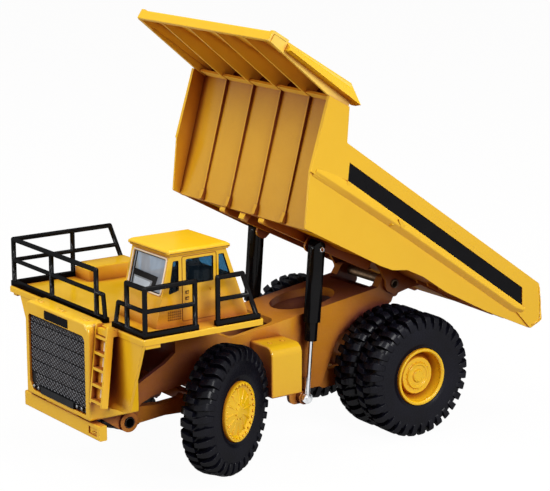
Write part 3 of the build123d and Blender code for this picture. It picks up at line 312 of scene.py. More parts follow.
# Panes: their pale streaky colour is a painted reflection; the windscreen's is paler and covers more
GLASS = pane("cab_pane", (0.40, 0.60, 0.70), (0.06, 0.10, 0.14), 0.06)
WINDSCREEN = pane("windscreen_pane", (0.62, 0.72, 0.80), (0.72, 0.80, 0.90), 0.42)


# ------------------------------------------------------------------ CAD nodes
def round_edges(o, width, angle, miter="MITER_SHARP"):
    """Rounds edges that turn by more than angle, in degrees; width is in mm."""
    b = o.modifiers.new("edge", "BEVEL")
    b.width = width * MM
    b.segments = 2
    b.limit_method = "ANGLE"
    b.angle_limit = math.radians(angle)
    b.miter_outer = miter


def even_normals(o):
    """Shades flat faces flat, up to the rounded edges between them."""
    n = o.modifiers.new("normal", "WEIGHTED_NORMAL")
    n.keep_sharp = True
    n.weight = 60


def dress(node, mat, radius):
    """Gives a CAD node its material, and edges rounded by radius in mm where it isn't 0."""
    o = NODES[node]
    o.data.materials.clear()
    o.data.materials.append(mat)
    for p in o.data.polygons:
        p.use_smooth = True
    w = o.modifiers.new("weld", "WELD")
    w.merge_threshold = 0.001 * MM
    if radius:
        d = o.modifiers.new("flat", "DECIMATE")
        d.decimate_type = "DISSOLVE"
        d.angle_limit = math.radians(0.6)
        round_edges(o, radius, 34.0, "MITER_ARC")
    even_normals(o)


LOOKS = [   # material, edge radius in mm, nodes
    (YELLOW, 0.2, ["front_axle", "rear_axle", "left_fender_panel", "right_fender_panel", "left_tank",
                   "right_tank"]),
    (YELLOW, 0.15, ["knuckle_left", "knuckle_right"]),
    (YELLOW, 0.25, ["cab_roof", "bed_tub"]),
    (YELLOW, 0.22, ["bed_canopy"]),
    (SHADED_BOARD_YELLOW, 0.18, ["bed_headboard"]),
    (SHADED_FRAME_YELLOW, 0.22, ["bed_subframe"]),
    (SHADED_FRAME_YELLOW, 0.25, ["chassis_frame"]),
    (LIT_CAB_YELLOW, 0.14, ["cab"]),
    (LIT_CAB_YELLOW, 0.2, ["deck", "deck_box", "radiator_housing", "ladder"]),
    (LIT_CAB_YELLOW, 0.25, ["bumper"]),
    (LIT_RIM_YELLOW, 0.12, ["front_rim_left", "front_rim_right", "rear_rims_left", "rear_rims_right"]),
    (BLACK, 0, ["right_railing", "left_front_railing", "left_rear_railing"]),
    (BLACK, 0.15, ["hoist_barrel_left", "hoist_barrel_right", "hoist_stage_left", "hoist_stage_right"]),
    (CHROME, 0.1, ["hoist_rod_left", "hoist_rod_right"]),
    (STRIPE, 0, ["left_stripe", "right_stripe"]),
    (STRIPE, 0.08, ["name_plate_blank"]),
    (GRILLE, 0.1, ["grille"]),
    (GLASS, 0, ["cab_glass"]),
    (CAB_DARK_AND_SHADE, 0.2, ["cab_seat", "cab_dash", "steering_wheel"]),
    (PIVOT, 0, ["front_pivot_tube"]),
    (RIVET, 0, ["bed_hinge_tube"]),
]
for look, radius, names in LOOKS:
    for name in names:
        dress(name, look, radius)


def light_canopy_underside():
    """Painted light: the canopy's underside, between its side strips, gets a lighter copy of the enamel than
    its outside.
    """
    strip = 3.2
    o = NODES["bed_canopy"]
    o.data.materials.append(UNDERSIDE_LIT_YELLOW)
    reach = max(abs(v.co.x) for v in o.data.vertices) - strip * MM
    for p in o.data.polygons:
        under = p.normal.z < 0.2 and p.normal.y > -0.97
        if under and abs(p.center.x) < reach:
            p.material_index = 1


light_canopy_underside()


# ------------------------------------------------------------------ mesh helpers
scene = bpy.context.scene


def add_object(name, data):
    """New object in the scene."""
    o = bpy.data.objects.new(name, data)
    scene.collection.objects.link(o)
    return o


def new_mesh(name, verts, faces, mat, body, smooth=True, matrix=None):
    """A piece of its own, from points in mm, riding on a body; matrix places it, in metres."""
    me = bpy.data.meshes.new(name)
    me.from_pydata([tuple(c * MM for c in v) for v in verts], [], faces)
    me.validate()
    me.update()
    bm = bmesh.new()
    bm.from_mesh(me)
    bmesh.ops.recalc_face_normals(bm, faces=bm.faces)
    bm.to_mesh(me)
    bm.free()
    for p in me.polygons:
        p.use_smooth = smooth
    o = add_object(name, me)
    me.materials.append(mat)
    if matrix is not None:
        me.transform(matrix)
    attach(o, body)
    return o


def span(node):
    """Lowest and highest corner of a CAD node at rest, in mm."""
    lo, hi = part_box(node)
    return lo / MM, hi / MM


CLEAR_OF_ALL = 60.0     # mm; rays towards a node start this far off


class Skin:
    """Finds points on a CAD node's surface."""

    def __init__(self, node):
        me = NODES[node].data
        points = [v.co / MM for v in me.vertices]
        self.tree = BVHTree.FromPolygons(points, [tuple(p.vertices) for p in me.polygons])

    def hit(self, start, direction):
        """Point where a ray first meets the node, in mm, or None."""
        return self.tree.ray_cast(Vector(start), Vector(direction).normalized())[0]


def frame_at(centre, out, up=(0, 0, 1)):
    """Axes at a point: third axis along out, second as near to up as it can be."""
    z = Vector(out).normalized()
    x = Vector(up).cross(z)
    x = x.normalized() if x.length > 1e-6 else Vector((1, 0, 0))
    y = z.cross(x)
    return Matrix(((x.x, y.x, z.x, centre[0]),
                   (x.y, y.y, z.y, centre[1]),
                   (x.z, y.z, z.z, centre[2]),
                   (0, 0, 0, 1)))


def circle(r, h, sides):
    """Points round the third axis at radius r and height h."""
    turns = [2 * math.pi * i / sides for i in range(sides)]
    return [(r * math.cos(a), r * math.sin(a), h) for a in turns]


class Parts:
    """Collects small shapes, in mm, into one mesh."""

    SUNK = -0.2         # how far a fitting's foot goes into what it stands on

    def __init__(self):
        self.verts = []
        self.faces = []

    def add(self, verts, faces, at=Matrix()):
        base = len(self.verts)
        self.verts += [tuple(at @ Vector(v)) for v in verts]
        self.faces += [tuple(base + i for i in f) for f in faces]

    def turned(self, profile, at, sides=16):
        """Solid turned from a profile of (radius, height) that starts and ends on the axis."""
        verts, faces = [], []
        rings = profile[1:-1]
        for r, h in rings:
            verts += circle(r, h, sides)
        a, b = len(verts), len(verts) + 1
        verts += [(0, 0, profile[0][1]), (0, 0, profile[-1][1])]
        for i in range(sides):
            j = (i + 1) % sides
            faces.append((a, j, i))
            for k in range(len(rings) - 1):
                faces.append((k * sides + i, k * sides + j, (k + 1) * sides + j, (k + 1) * sides + i))
            faces.append((b, (len(rings) - 1) * sides + i, (len(rings) - 1) * sides + j))
        self.add(verts, faces, at)

    def dome(self, at, r, h, sides=12):
        """Round head of radius r, standing h proud."""
        crown = [(r, h * 0.35), (r * 0.82, h * 0.75), (r * 0.45, h * 0.96), (0, h)]
        self.turned([(0, self.SUNK), (r, self.SUNK)] + crown, at, sides)

    def ring(self, at, r, t, h, sides=24):
        """Flat ring of outer radius r, width t, standing h proud."""
        verts, faces = [], []
        for radius, height in ((r, self.SUNK), (r, h), (r - t, h), (r - t, self.SUNK)):
            verts += circle(radius, height, sides)
        for i in range(sides):
            j = (i + 1) % sides
            for k in range(4):
                m = (k + 1) % 4
                faces.append((k * sides + i, k * sides + j, m * sides + j, m * sides + i))
        self.add(verts, faces, at)

    def block(self, at, x, y, z0, z1, taper=0.0):
        """Block x by y, from z0 to z1, its top smaller by taper all round."""
        corners = []
        for a, b, z in ((x / 2, y / 2, z0), (x / 2 - taper, y / 2 - taper, z1)):
            corners += [(-a, -b, z), (a, -b, z), (a, b, z), (-a, b, z)]
        faces = [(3, 2, 1, 0), (4, 5, 6, 7), (0, 1, 5, 4), (1, 2, 6, 5), (2, 3, 7, 6), (3, 0, 4, 7)]
        self.add(corners, faces, at)

    def tube(self, line, r, closed=False, sides=8):
        """Round bar along a line of points, thickened at its bends to keep its width."""
        skew = (0.13, 0.21, 0.97)       # an up that no bar here runs along
        pts = [Vector(p) for p in line]
        n = len(pts)
        verts, faces = [], []
        for i, p in enumerate(pts):
            a = pts[(i - 1) % n] if closed or i else p
            b = pts[(i + 1) % n] if closed or i < n - 1 else p
            m = frame_at(p, b - a, skew)
            da, db = (p - a).normalized(), (b - p).normalized()
            wide = 1.0 / max(0.5, math.cos(da.angle(db) / 2)) if da.length and db.length else 1.0
            verts += [tuple(m @ Vector(c)) for c in circle(r * wide, 0, sides)]
        for i in range(n if closed else n - 1):
            j = (i + 1) % n
            for k in range(sides):
                m = (k + 1) % sides
                faces.append((i * sides + k, i * sides + m, j * sides + m, j * sides + k))
        if not closed:
            faces += [tuple(range(sides))[::-1], tuple((n - 1) * sides + k for k in range(sides))]
        self.add(verts, faces)

    def make(self, name, mat, body, slot, smooth=True):
        new_mesh(name, self.verts, self.faces, mat, body, smooth)


def sections(rows, outline):
    """Closed solid through a row of sections; outline(row) gives each section's points."""
    loops = [outline(r) for r in rows]
    n = len(loops[0])
    verts = [p for loop in loops for p in loop]
    last = len(loops) - 1
    faces = [tuple(range(n))[::-1], tuple(last * n + k for k in range(n))]
    for i in range(last):
        for k in range(n):
            m = (k + 1) % n
            faces.append((i * n + k, i * n + m, (i + 1) * n + m, (i + 1) * n + k))
    return verts, faces


# ------------------------------------------------------------------ cab
CAB_LO, CAB_HI = span("cab")
CAB_MID = (CAB_LO + CAB_HI) / 2
LEFT, FRONT, UP = (1, 0, 0), (0, -1, 0), (0, 0, 1)      # directions in the CAD frame


def cab_inside_shade():
    """Painted shade: a dark lining on the inner faces of the cab and the underside of its roof."""
    facing_in = -5.0        # mm; a face's place from the middle, taken along its own normal
    for node in ("cab", "cab_roof"):
        o = NODES[node]
        o.data.materials.append(CAB_DARK_AND_SHADE)
        for p in o.data.polygons:
            c, n = p.center / MM, p.normal
            across, along = (c.x - CAB_MID.x) * n.x, (c.y - CAB_MID.y) * n.y
            if node == "cab":
                inward = across < facing_in or (abs(n.y) > 0.8 and along < facing_in)
            else:
                inward = n.z < -0.9 and CAB_LO.x + 1.0 < c.x < CAB_HI.x - 1.0
            if inward:
                p.material_index = 1


def pane_loops():
    """Outer outline of each pane: (outward axis, ordered corner points)."""
    least_area = 8 * MM * MM
    most_thick = 1.5 * MM
    bm = bmesh.new()
    bm.from_mesh(NODES["cab_glass"].data)
    bmesh.ops.remove_doubles(bm, verts=bm.verts, dist=0.001 * MM)
    bmesh.ops.dissolve_limit(bm, angle_limit=math.radians(0.5), verts=bm.verts, edges=bm.edges)
    loops = []
    for f in bm.faces:
        c = f.calc_center_median()
        n = f.normal
        outward = (c - CAB_MID * MM).dot(n) > 0
        upright = abs(n.x) > 0.9 or abs(n.y) > 0.8
        if f.calc_area() > least_area and outward and upright:
            twin = [g for g in bm.faces if g is not f and g.normal.dot(n) < -0.99
                    and (g.calc_center_median() - c).length < most_thick]
            if twin:
                loops.append((n.copy(), [v.co / MM for v in f.verts]))
    bm.free()
    return loops


def cab_windows():
    """Rubber seals round the panes, and a cream edge round the windscreen, which is a painted highlight."""
    seal_r, seal_proud = 0.26, 0.06
    trim_r, trim_proud, trim_gap = 0.34, 0.42, 0.75
    seals, highlight_trim = Parts(), Parts()
    for n, pts in pane_loops():
        seals.tube([p + n * seal_proud for p in pts], seal_r, closed=True, sides=6)
        if n.y < -0.8:
            mid = sum(pts, Vector()) / len(pts)
            wide = [p + (p - mid).normalized() * trim_gap + n * trim_proud for p in pts]
            highlight_trim.tube(wide, trim_r, closed=True, sides=6)
    seals.make("cab_window_seals", SEAL_AND_SHADE, "chassis", "black_gloss")
    highlight_trim.make("windscreen_highlight_trim", CREAM_REFLECTION, "chassis", "yellow_paint")


def cab_screen():
    """The windscreen's faces get a paler pane, with more painted reflection, than the side windows."""
    rake = 6.5      # how far the windscreen leans back from the cab's front
    o = NODES["cab_glass"]
    o.data.materials.append(WINDSCREEN)
    for p in o.data.polygons:
        near_front = p.center.y / MM < CAB_LO.y + rake
        if near_front and abs(p.normal.x) < 0.5 and abs(p.normal.y) > 0.8:
            p.material_index = 1


def cab_trim():
    """Vents, door hinges, handle and a crease on the cab's left side; dark blocks under the vent slats and
    round the hinges are painted shade.
    """
    small, dark = Parts(), Parts()

    def on_side(y, z):
        """Axes on the left side, y back from the cab's front and z up from its floor."""
        return frame_at((CAB_HI.x, CAB_LO.y + y, CAB_LO.z + z), LEFT)

    # painted shade: dark blocks under the slats
    for row in range(4):        # vents: slats over dark slots
        for col in range(7):
            y = 5.5 + col * 0.86 + row * 0.02
            z = 2.9 + row * 0.95
            small.block(on_side(y, z), 0.5, 0.42, Parts.SUNK, 0.24, 0.08)
            dark.block(on_side(y, z - 0.42), 0.62, 0.2, Parts.SUNK, 0.05)
    # painted shade: dark plates round the hinges
    for z in (9.9, 12.2):       # door hinges on dark plates
        hinge = on_side(13.7, z)
        dark.block(hinge, 1.5, 1.15, Parts.SUNK, 0.08)
        small.block(hinge, 1.1, 0.62, Parts.SUNK, 0.34, 0.1)
    handle = on_side(24.1, 12.1)
    small.dome(handle, 0.42, 0.4)
    crease = [(CAB_HI.x - 0.05, CAB_LO.y + y, CAB_LO.z + 8.0) for y in (1.9, 10.9)]
    small.tube(crease, 0.28, sides=6)
    small.make("cab_side_fittings", YELLOW, "chassis", "yellow_paint", smooth=False)
    dark.make("cab_side_painted_shade", SEAL_AND_SHADE, "chassis", "black_gloss", smooth=False)


def roof_line():
    """Dark line round the roof, between its lid and its lip: painted shade in the groove there."""
    steps, width, proud = 72, 0.22, 0.02
    share = 0.42        # of the roof's height
    lo, hi = span("cab_roof")
    mid = (lo + hi) / 2
    skin = Skin("cab_roof")
    z = lo.z + share * (hi.z - lo.z)
    loop = []
    for i in range(steps):
        a = 2 * math.pi * (i + 0.5) / steps
        out = Vector((math.cos(a), math.sin(a), 0.0))
        at = skin.hit(Vector((mid.x, mid.y, z)) + out * CLEAR_OF_ALL, -out)
        if at is not None:
            loop.append(at + out * proud)
    line = Parts()
    line.tube(loop, width / 2, closed=True, sides=6)
    line.make("roof_groove_shade", GROOVE_SHADE_BROWN, "chassis", "black_gloss", smooth=False)


def screen_frame():
    """Dark band over a pale card on the windscreen's lower half, and a dark strip up its edge. The band
    stands in for the dash behind the glass, the strip is painted shade, and the card is a painted reflection.

    They lie on the pane. Outlines are shares of its width and height, from its low right corner.
    """
    sheet_proud, band_proud, foot = 0.12, 0.22, 0.02
    n, pts = next((n, pts) for n, pts in pane_loops() if n.y < -0.8)
    low = sorted(sorted(pts, key=lambda p: p.z)[:2], key=lambda p: p.x)
    high = sorted(sorted(pts, key=lambda p: -p.z)[:2], key=lambda p: p.x)

    def sheet(parts, outline, proud):
        front = []
        for u, v in outline:
            left = low[0].lerp(high[0], v)
            front.append(left.lerp(low[1].lerp(high[1], v), u) + n * proud)
        back = [p - n * (proud - foot) for p in front]
        k = len(front)
        sides = [(i, (i + 1) % k, k + (i + 1) % k, k + i) for i in range(k)]
        ends = [tuple(range(k)), tuple(range(2 * k - 1, k - 1, -1))]
        parts.add([tuple(p) for p in front + back], ends + sides)

    dark, pale = Parts(), Parts()
    band = [(0.03, 0.31), (0.72, 0.29), (0.68, 0.03), (0.80, 0.03), (0.86, 0.45), (0.03, 0.49)]
    sheet(dark, band, band_proud)
    # painted shade: the dark strip up the edge
    sheet(dark, [(0.02, 0.03), (0.055, 0.03), (0.055, 0.97), (0.02, 0.97)], sheet_proud)
    # painted reflection: the pale card
    sheet(pale, [(0.10, 0.06), (0.62, 0.06), (0.65, 0.24), (0.10, 0.26)], sheet_proud)
    dark.make("windscreen_band", SEAL_AND_SHADE, "chassis", "black_gloss", smooth=False)
    pale.make("windscreen_reflection_card", REFLECTION_CARD, "chassis", "window_glass", smooth=False)


cab_inside_shade()
cab_screen()
screen_frame()
roof_line()
cab_windows()
cab_trim()

# ------------------------------------------------------------------ grille, lamps, bumper
NOSE_LO, NOSE_HI = span("radiator_housing")
GRILLE_LO, GRILLE_HI = span("grille")
GRILLE_DEPTH = 1.0          # mesh face behind the housing's face
SEAMS = 5
WEAVE_GAP = 0.3             # between the wires' ends and a panel's edge


def clipped(x0, z0, dx, dz, lo_x, hi_x, lo_z, hi_z):
    """Part of a line inside a rectangle, as its two ends, or None where hardly any is left."""
    shortest = 0.25
    t0, t1 = -math.inf, math.inf
    for p, d, lo, hi in ((x0, dx, lo_x, hi_x), (z0, dz, lo_z, hi_z)):
        a, b = (lo - p) / d, (hi - p) / d
        t0, t1 = max(t0, min(a, b)), min(t1, max(a, b))
    if t1 - t0 <= shortest:
        return None
    return x0 + dx * t0, z0 + dz * t0, x0 + dx * t1, z0 + dz * t1


def weave_panel(wires, low, high, first_x):
    """Crossed wires between two heights, from first_x to the grille's left edge."""
    pitch, half_w, lean = 1.34, 0.27, math.radians(33.0)
    over, under, sunk = 0.34, 0.7 * 0.34, 0.1       # how far each set of wires stands out, and its foot
    face = NOSE_LO.y + GRILLE_DEPTH
    foot = face + sunk
    run = (high - low) / math.tan(lean)
    for slope in (1, -1):
        dx, dz = math.cos(lean), slope * math.sin(lean)
        nx, nz = -dz * half_w, dx * half_w
        crest = face - (over if slope > 0 else under)
        count = int((GRILLE_HI.x - GRILLE_LO.x + run) * math.sin(lean) / pitch)
        for i in range(count + 1):
            x = GRILLE_LO.x + i * pitch / math.sin(lean) - run
            ends = clipped(x, low if slope > 0 else high, dx, dz, first_x, GRILLE_HI.x - WEAVE_GAP, low, high)
            if not ends:
                continue
            xa, za, xb, zb = ends
            verts = [(xa - nx, foot, za - nz), (xa, crest, za), (xa + nx, foot, za + nz),
                     (xb - nx, foot, zb - nz), (xb, crest, zb), (xb + nx, foot, zb + nz)]
            wires.add(verts, [(0, 1, 4, 3), (1, 2, 5, 4), (2, 0, 3, 5), (0, 2, 1), (3, 4, 5)])


def grille_weave():
    """Crossed wires in front of the grille, panel by panel between its seams."""
    lowest_inset = 3.0      # how much later the lowest panel starts
    wires = Parts()
    step = (GRILLE_HI.z - GRILLE_LO.z) / (SEAMS + 1)
    z_first = GRILLE_LO.z + 2.0
    edges = [GRILLE_LO.z] + [z_first + step * i for i in range(1, SEAMS + 1)] + [GRILLE_HI.z]
    for low, high in zip(edges, edges[1:]):
        inset = lowest_inset if low == GRILLE_LO.z else 0.0
        weave_panel(wires, low + WEAVE_GAP, high - WEAVE_GAP, GRILLE_LO.x + WEAVE_GAP + inset)
    wires.make("grille_weave", WEAVE, "chassis", "dark_grille", smooth=False)


def lamps():
    """Lenses of the four low lamps."""
    lens_r, proud, height = 0.7, 0.36, 1.65
    lenses = Parts()
    z = GRILLE_LO.z + height
    for x in (14.8, 18.4):      # from the middle
        for s in (-1, 1):
            lenses.dome(frame_at((s * x, NOSE_LO.y + 0.1, z), FRONT), lens_r, proud, 14)
    lenses.make("lamp_lenses", LAMP, "chassis", "black_gloss")


def bumper_step():
    """Bar inside the step recess at the bumper's left end."""
    bar_r, depth, height = 0.28, 0.35, 2.6
    lo, hi = span("bumper")
    parts = Parts()
    parts.tube([(hi.x - inset, lo.y + depth, lo.z + height) for inset in (5.5, 2.0)], bar_r, sides=8)
    parts.make("bumper_step_bar", YELLOW, "chassis", "yellow_paint")


def lamp_covers():
    """Thin glossy lids in a paler yellow on the three covers above the grille, level with the housing's top:
    painted highlights.
    """
    spacing, width, depth, thick = 17.2, 4.3, 1.1, 0.1
    parts = Parts()
    for i in (-1, 0, 1):
        at = frame_at((spacing * i, NOSE_LO.y + 2.9, NOSE_HI.z), UP, (0, 1, 0))
        parts.block(at, width, depth, -thick, 0.0, 0.1)
    parts.make("lamp_cover_highlights", HIGHLIGHT_YELLOW, "chassis", "yellow_paint", smooth=False)


def ladder_back_reflections():
    """Pale panels behind the ladder's four lower openings, leaning back with it: a painted reflection."""
    rungs = 5
    above, below = 1.7, 0.9     # a panel starts above one rung's underside and ends below the next's
    set_back, lean, thick = 1.75, 3.3, 0.5
    lo, hi = span("ladder")
    right, left = lo.x + 4.3, hi.x - 1.3
    step = (hi.z - lo.z - 1.6) / rungs
    first = lo.z + 0.9 + 0.12 * step        # near the lowest rung's underside
    parts = Parts()
    for i in range(rungs - 1):
        z0, z1 = first + step * i + above, first + step * (i + 1) - below
        y0, y1 = (lo.y + set_back + (z - lo.z) / (hi.z - lo.z) * lean for z in (z0, z1))
        panel = []
        for back in (0.0, thick):
            panel += [(right, y0 + back, z0), (left, y0 + back, z0),
                      (left, y1 + back, z1), (right, y1 + back, z1)]
        parts.add(panel, [(0, 1, 2, 3), (7, 6, 5, 4), (0, 4, 5, 1), (1, 5, 6, 2), (2, 6, 7, 3), (3, 7, 4, 0)])
    parts.make("ladder_back_reflections", CREAM_REFLECTION, "chassis", "yellow_paint", smooth=False)


grille_weave()
lamps()
lamp_covers()
bumper_step()
ladder_back_reflections()


# ------------------------------------------------------------------ wheels' fittings
def wheel_axes(joint):
    """Centre of a wheel's joint in mm, and its axis pointing outwards."""
    j = JOINTS[joint]
    at = Vector(j["pos_m"]) / MM
    axis = Vector(j["axis"]).normalized()
    return at, axis if axis.x * at.x > 0 else -axis


def seat(skin, centre, axis, r, a):
    """Where a fitting at radius r and angle a meets the wheel's outer side."""
    start = frame_at(centre, axis) @ Vector((r * math.cos(a), r * math.sin(a), CLEAR_OF_ALL))
    return skin.hit(start, -axis)


def wheel_bolts(joint, body, node, rows):
    """Rows of (count, radius, bolt radius, height, first angle) on a rim."""
    centre, axis = wheel_axes(joint)
    skin = Skin(node)
    parts = Parts()
    for count, r, size, height, first in rows:
        for i in range(count):
            at = seat(skin, centre, axis, r, first + 2 * math.pi * i / count)
            if at is not None:
                parts.dome(frame_at(at, axis), size, height, 8)
    parts.make("bolts_" + node, LIT_RIM_YELLOW, body, "yellow_paint")


for side in ("left", "right"):
    wheel_bolts(f"{side}_front_spin", f"{side}_front_wheel", f"front_rim_{side}",
                [(28, 10.6, 0.52, 0.5, 0.0), (8, 2.9, 0.34, 0.35, 0.2)])
    wheel_bolts(f"{side}_rear_spin", f"{side}_rear_wheel", f"rear_rims_{side}",
                [(16, 5.6, 0.34, 0.28, 0.1), (6, 2.0, 0.24, 0.22, 0.3)])

# ------------------------------------------------------------------ bed
HINGE = Vector(JOINTS["bed_tip"]["pos_m"]) / MM
TIP = math.radians(-JOINTS["bed_tip"]["range_deg"][0])      # raised at rest by this much
BED_X = span("bed_tub")[1].x - 1.6      # outer face of the side walls


def bed_at(x, u, w):
    """Point of the bed at rest: u to the rear from the hinge and w up, along the lowered bed."""
    c, s = math.cos(TIP), math.sin(TIP)
    return (x, HINGE.y + u * c + w * s, HINGE.z - u * s + w * c)


def hoist_pin_rings():
    """Steel rings on the hoists' top pins."""
    ring_r, width, proud, sunk = 1.0, 0.35, 0.3, 0.25
    rings = Parts()
    lo, hi = span("bed_subframe")
    for side, s in (("left", 1), ("right", -1)):
        pin = Vector(JOINTS[f"{side}_hoist_turn"]["pos_m"]) / MM
        x = hi.x if s > 0 else lo.x
        rings.ring(frame_at((x - s * sunk, pin.y, pin.z), (s, 0, 0)), ring_r, width, proud, 20)
    rings.make("hoist_pin_rings", CHROME, "bed", "bright_steel")


def bed_front_lug():
    """Middle lug under the floor's front edge."""
    front_u, below = -70.2, -40.0
    down = Vector(bed_at(0, 0, -1)) - Vector(bed_at(0, 0, 0))
    at = Skin("bed_tub").hit(Vector(bed_at(0.0, front_u, below)), -down)
    lug = Parts()
    lug.block(frame_at(at, down, (1, 0, 0)), 3.2, 4.2, -0.3, 4.4, 0.4)
    lug.make("bed_front_lug", YELLOW, "bed", "yellow_paint", smooth=False)


def bed_side_gussets():
    """Small three-sided gusset on each side wall, in the lit rim yellow as a painted highlight; its outline
    is given as (u, w).
    """
    sunk, proud = 0.3, 0.85
    foot = [(-42.2, 15.8), (-36.6, 13.9), (-40.6, 11.9)]
    crest = [(-41.6, 14.9), (-37.9, 13.8), (-40.5, 12.6)]
    gusset = Parts()
    for s in (-1, 1):
        points = [bed_at(s * (BED_X - sunk), u, w) for u, w in foot]
        points += [bed_at(s * (BED_X + proud), u, w) for u, w in crest]
        gusset.add(points, [(0, 2, 1), (3, 4, 5), (0, 1, 4, 3), (1, 2, 5, 4), (2, 0, 3, 5)])
    gusset.make("bed_side_gussets", LIT_RIM_YELLOW, "bed", "yellow_paint", smooth=False)


def side_mouldings():
    """Sloping shoulder under each side's stripe, with a soft valley below it."""
    # sections along the bed: u, w of the shoulder's top, w of its foot, how far it stands out
    rows = [(-84.6, 14.2, 12.0, 0.1), (-74.0, 16.3, 12.3, 0.5), (-66.0, 16.9, 12.5, 0.9),
            (-30.6, 16.9, 13.3, 1.2), (10.0, 16.9, 13.5, 1.2), (38.0, 16.9, 13.6, 1.1),
            (43.4, 16.9, 14.8, 0.8)]
    for s, name in ((1, "left"), (-1, "right")):
        def outline(row):
            """Points of a section, as (out from the wall, w)."""
            u, top, low, out = row
            edge = 0.72 if u > -70 else 0.02
            pts = [(-0.5, top + 0.04), (edge, top + 0.04), (out + 0.25, low + 1.2), (out + 0.3, low + 0.8),
                   (out * 0.7, low + 0.1), (-0.3, low - 0.9), (-0.75, low - 1.4)]
            return [bed_at(s * (BED_X + a), u, w) for a, w in pts]
        verts, faces = sections(rows, outline)
        o = new_mesh(f"{name}_side_moulding", verts, faces, YELLOW, "bed")
        round_edges(o, 0.22, 22.0)
        even_normals(o)


def tail_beads():
    """Rounded bead along each side wall's tail."""
    bead_r, sunk = 0.34, 0.05
    line = [(45.8, 27.6), (50.1, 22.8), (54.2, 17.1), (53.8, 15.1), (51.8, 12.5)]       # (u, w)
    parts = Parts()
    for s in (1, -1):
        parts.tube([bed_at(s * (BED_X - sunk), u, w) for u, w in line], bead_r, sides=8)
    parts.make("tail_beads", YELLOW, "bed", "yellow_paint")


side_mouldings()
tail_beads()
hoist_pin_rings()
bed_front_lug()
bed_side_gussets()

# ------------------------------------------------------------------ tyres
LUGS = 32           # on each half of the tread, staggered
TREAD_R = 25.0      # radius at which a lug's width and lean are measured
# half profile of the carcass: x from the middle plane, radius
CARCASS = [(0.0, 23.2), (3.0, 23.15), (4.9, 22.7), (5.75, 21.7), (6.05, 20.1), (6.25, 18.4), (6.30, 16.5),
           (6.05, 14.4), (5.95, 13.7), (5.55, 13.1), (5.35, 12.35), (5.45, 12.0), (5.2, 11.75), (4.6, 11.65)]
# outer line of a lug: x from the middle, radius, half width, lean round the tyre
LUG = [(0.15, 25.32, 1.05, 0.00), (1.9, 25.4, 1.10, 0.15), (3.3, 25.36, 1.25, 0.62), (4.6, 25.05, 1.38, 1.02),
       (5.65, 24.3, 1.42, 1.10), (6.32, 22.95, 1.36, 1.12), (6.57, 21.3, 1.22, 1.12),
       (6.54, 20.3, 1.05, 1.12)]
# the line of its foot, inside the carcass: x from the middle, radius
LUG_FOOT = [(0.15, 22.9), (1.9, 22.9), (3.3, 22.8), (4.6, 22.3), (5.3, 21.9), (5.7, 21.2), (5.9, 20.4),
            (6.0, 19.4)]


def around(x, r, a):
    """Point at x along the axle, radius r, angle a."""
    return (x, r * math.sin(a), r * math.cos(a))


def carcass():
    """Plain tyre body turned about the axle."""
    steps = LUGS * 4
    loop = [(-x, r) for x, r in CARCASS[:0:-1]] + CARCASS
    m = len(loop)
    verts, faces = [], []
    for i in range(steps):
        verts += [around(x, r, 2 * math.pi * i / steps) for x, r in loop]
        j = (i + 1) % steps
        faces += [(i * m + k, i * m + k + 1, j * m + k + 1, j * m + k) for k in range(m - 1)]
    return verts, faces


def lug(side, a0):
    """One curved lug on a side of the tread, starting at angle a0."""
    flare, sweep = 1.14, 0.9        # how much wider its foot is, and the share of its lean used
    verts, faces = [], []
    for (x, r, half, lean), (foot_x, foot_r) in zip(LUG, LUG_FOOT):
        wide = half * flare
        for u, rr, xx in ((-half, r, x), (half, r, x), (wide, foot_r, foot_x), (-wide, foot_r, foot_x)):
            verts.append(around(side * xx, rr, a0 + (u + lean * sweep) / TREAD_R))
    end = 4 * (len(LUG) - 1)
    for b in range(0, end, 4):
        faces += [(b + e, b + (e + 1) % 4, b + 4 + (e + 1) % 4, b + 4 + e) for e in range(4)]
    faces += [(0, 3, 2, 1), (end, end + 1, end + 2, end + 3)]
    return verts, faces


def tyre_mesh():
    """Carcass with its two staggered rows of lugs, about the X axis."""
    verts, faces = carcass()
    for side, first in ((-1, 0.0), (1, 0.5)):
        for i in range(LUGS):
            base = len(verts)
            lug_verts, lug_faces = lug(side, 2 * math.pi * (i + first) / LUGS)
            verts += lug_verts
            faces += [tuple(base + k for k in f) for f in lug_faces]
    return verts, faces


axle = JOINTS["left_front_spin"]["axis"]
STEER = math.atan2(axle[1], axle[0])        # how far the front wheels are turned at rest
TYRES = [   # node, body, turn
    ("front_tyre_left", "left_front_wheel", STEER),
    ("front_tyre_right", "right_front_wheel", STEER),
    ("rear_tyre_outer_left", "left_rear_wheel", 0.0),
    ("rear_tyre_inner_left", "left_rear_wheel", 0.0),
    ("rear_tyre_outer_right", "right_rear_wheel", 0.0),
    ("rear_tyre_inner_right", "right_rear_wheel", 0.0),
]
tyre_verts, tyre_faces = tyre_mesh()
for node, body, turn in TYRES:
    lo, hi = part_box(node)
    place = Matrix.Translation((lo + hi) / 2) @ Matrix.Rotation(turn, 4, "Z")
    o = new_mesh("lugged_" + node, tyre_verts, tyre_faces, RUBBER, body, matrix=place)
    round_edges(o, 0.16, 40.0)
    even_normals(o)
    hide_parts(node)

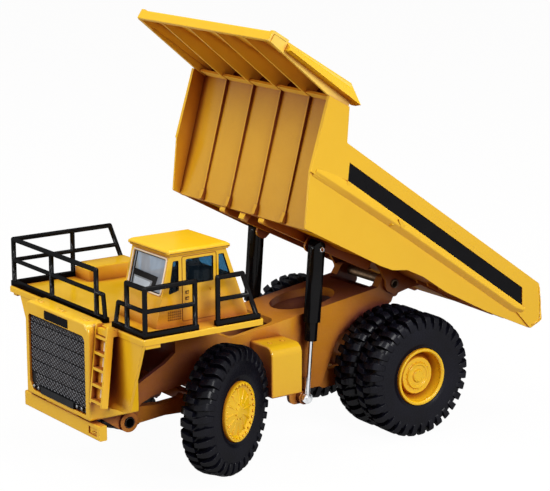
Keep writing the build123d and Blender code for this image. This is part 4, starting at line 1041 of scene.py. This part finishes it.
# ------------------------------------------------------------------ camera, light, floor
# From here on lengths are in metres.
def place_camera():
    """Camera that stands where the photograph's did, turned by its azimuth, elevation and roll."""
    at = (0.64645, -0.45788, 0.25651)
    lens_mm, sensor_mm = 131.49, 36.0
    azimuth, elevation, roll = (math.radians(a) for a in (54.72, 12.81, 0.1))
    data = bpy.data.cameras.new("camera")
    data.sensor_width = sensor_mm
    data.lens = lens_mm
    data.clip_start = 0.01
    data.clip_end = 20.0
    back = Vector((math.sin(azimuth) * math.cos(elevation), -math.cos(azimuth) * math.cos(elevation),
                   math.sin(elevation)))
    cam = add_object("camera", data)
    cam.location = at
    cam.rotation_mode = "QUATERNION"
    turn = Matrix.Rotation(-roll, 3, "Z").to_quaternion()
    cam.rotation_quaternion = (-back).to_track_quat("-Z", "Y") @ turn
    scene.camera = cam


def area_light(name, at, size, power):
    """White soft box that shines at the middle of the model; power is in watts."""
    middle = Vector((0.0, 0.0, 0.06))
    data = bpy.data.lights.new(name, "AREA")
    data.shape = "RECTANGLE"
    data.size, data.size_y = size
    data.energy = power
    o = add_object(name, data)
    o.location = at
    o.rotation_mode = "QUATERNION"
    o.rotation_quaternion = (middle - Vector(at)).to_track_quat("-Z", "Y")


def seen_ray(m):
    """1 for rays that end in the picture, straight, mirrored or through glass; 0 for bounced light."""
    path = m.node("ShaderNodeLightPath").outputs
    mirrored = m.math("MAXIMUM", path["Is Camera Ray"], path["Is Glossy Ray"])
    return m.math("MAXIMUM", mirrored, path["Is Transmission Ray"])


def pale_floor():
    """Floor that looks plain white, and that throws only a little warm light on the model."""
    half = 4.0
    whiteness = 0.97        # the rest is left to the model's shadow
    data = bpy.data.meshes.new("floor")
    data.from_pydata([(-half, -half, 0), (half, -half, 0), (half, half, 0), (-half, half, 0)], [],
                     [(0, 1, 2, 3)])
    floor = add_object("floor", data)
    m = Mat("pale_floor")
    seen = seen_ray(m)
    m.set(Roughness=0.9, Specular_IOR_Level=0.0, Base_Color=m.mix(seen, (0.22, 0.115, 0.06), WHITE))
    glow = m.node("ShaderNodeEmission", Color=(*WHITE, 1), Strength=1.0)
    m.surface(m.math("MULTIPLY", seen, whiteness), m.bsdf.outputs[0], glow.outputs[0])
    data.materials.append(m.mat)


def studio():
    """Surroundings that are white where they are seen, and dim and warm where they light the model."""
    world = bpy.data.worlds.new("studio")
    world.use_nodes = True
    scene.world = world
    m = Nodes(world.node_tree)
    background = m.tree.nodes["Background"].inputs
    m.link(m.mix(seen_ray(m), (0.15, 0.085, 0.06), WHITE), background["Color"])
    background["Strength"].default_value = 1.0


place_camera()
area_light("key", (-0.28, -0.66, 0.98), (0.5, 0.5), 6.4)
area_light("top", (0.15, 0.25, 1.10), (0.5, 0.5), 4.6)
area_light("side", (0.95, -0.05, 0.52), (0.5, 0.4), 8.6)
area_light("front", (-0.55, -0.95, 0.06), (0.4, 0.3), 5.6)
pale_floor()
studio()
scene.view_settings.view_transform = "Standard"
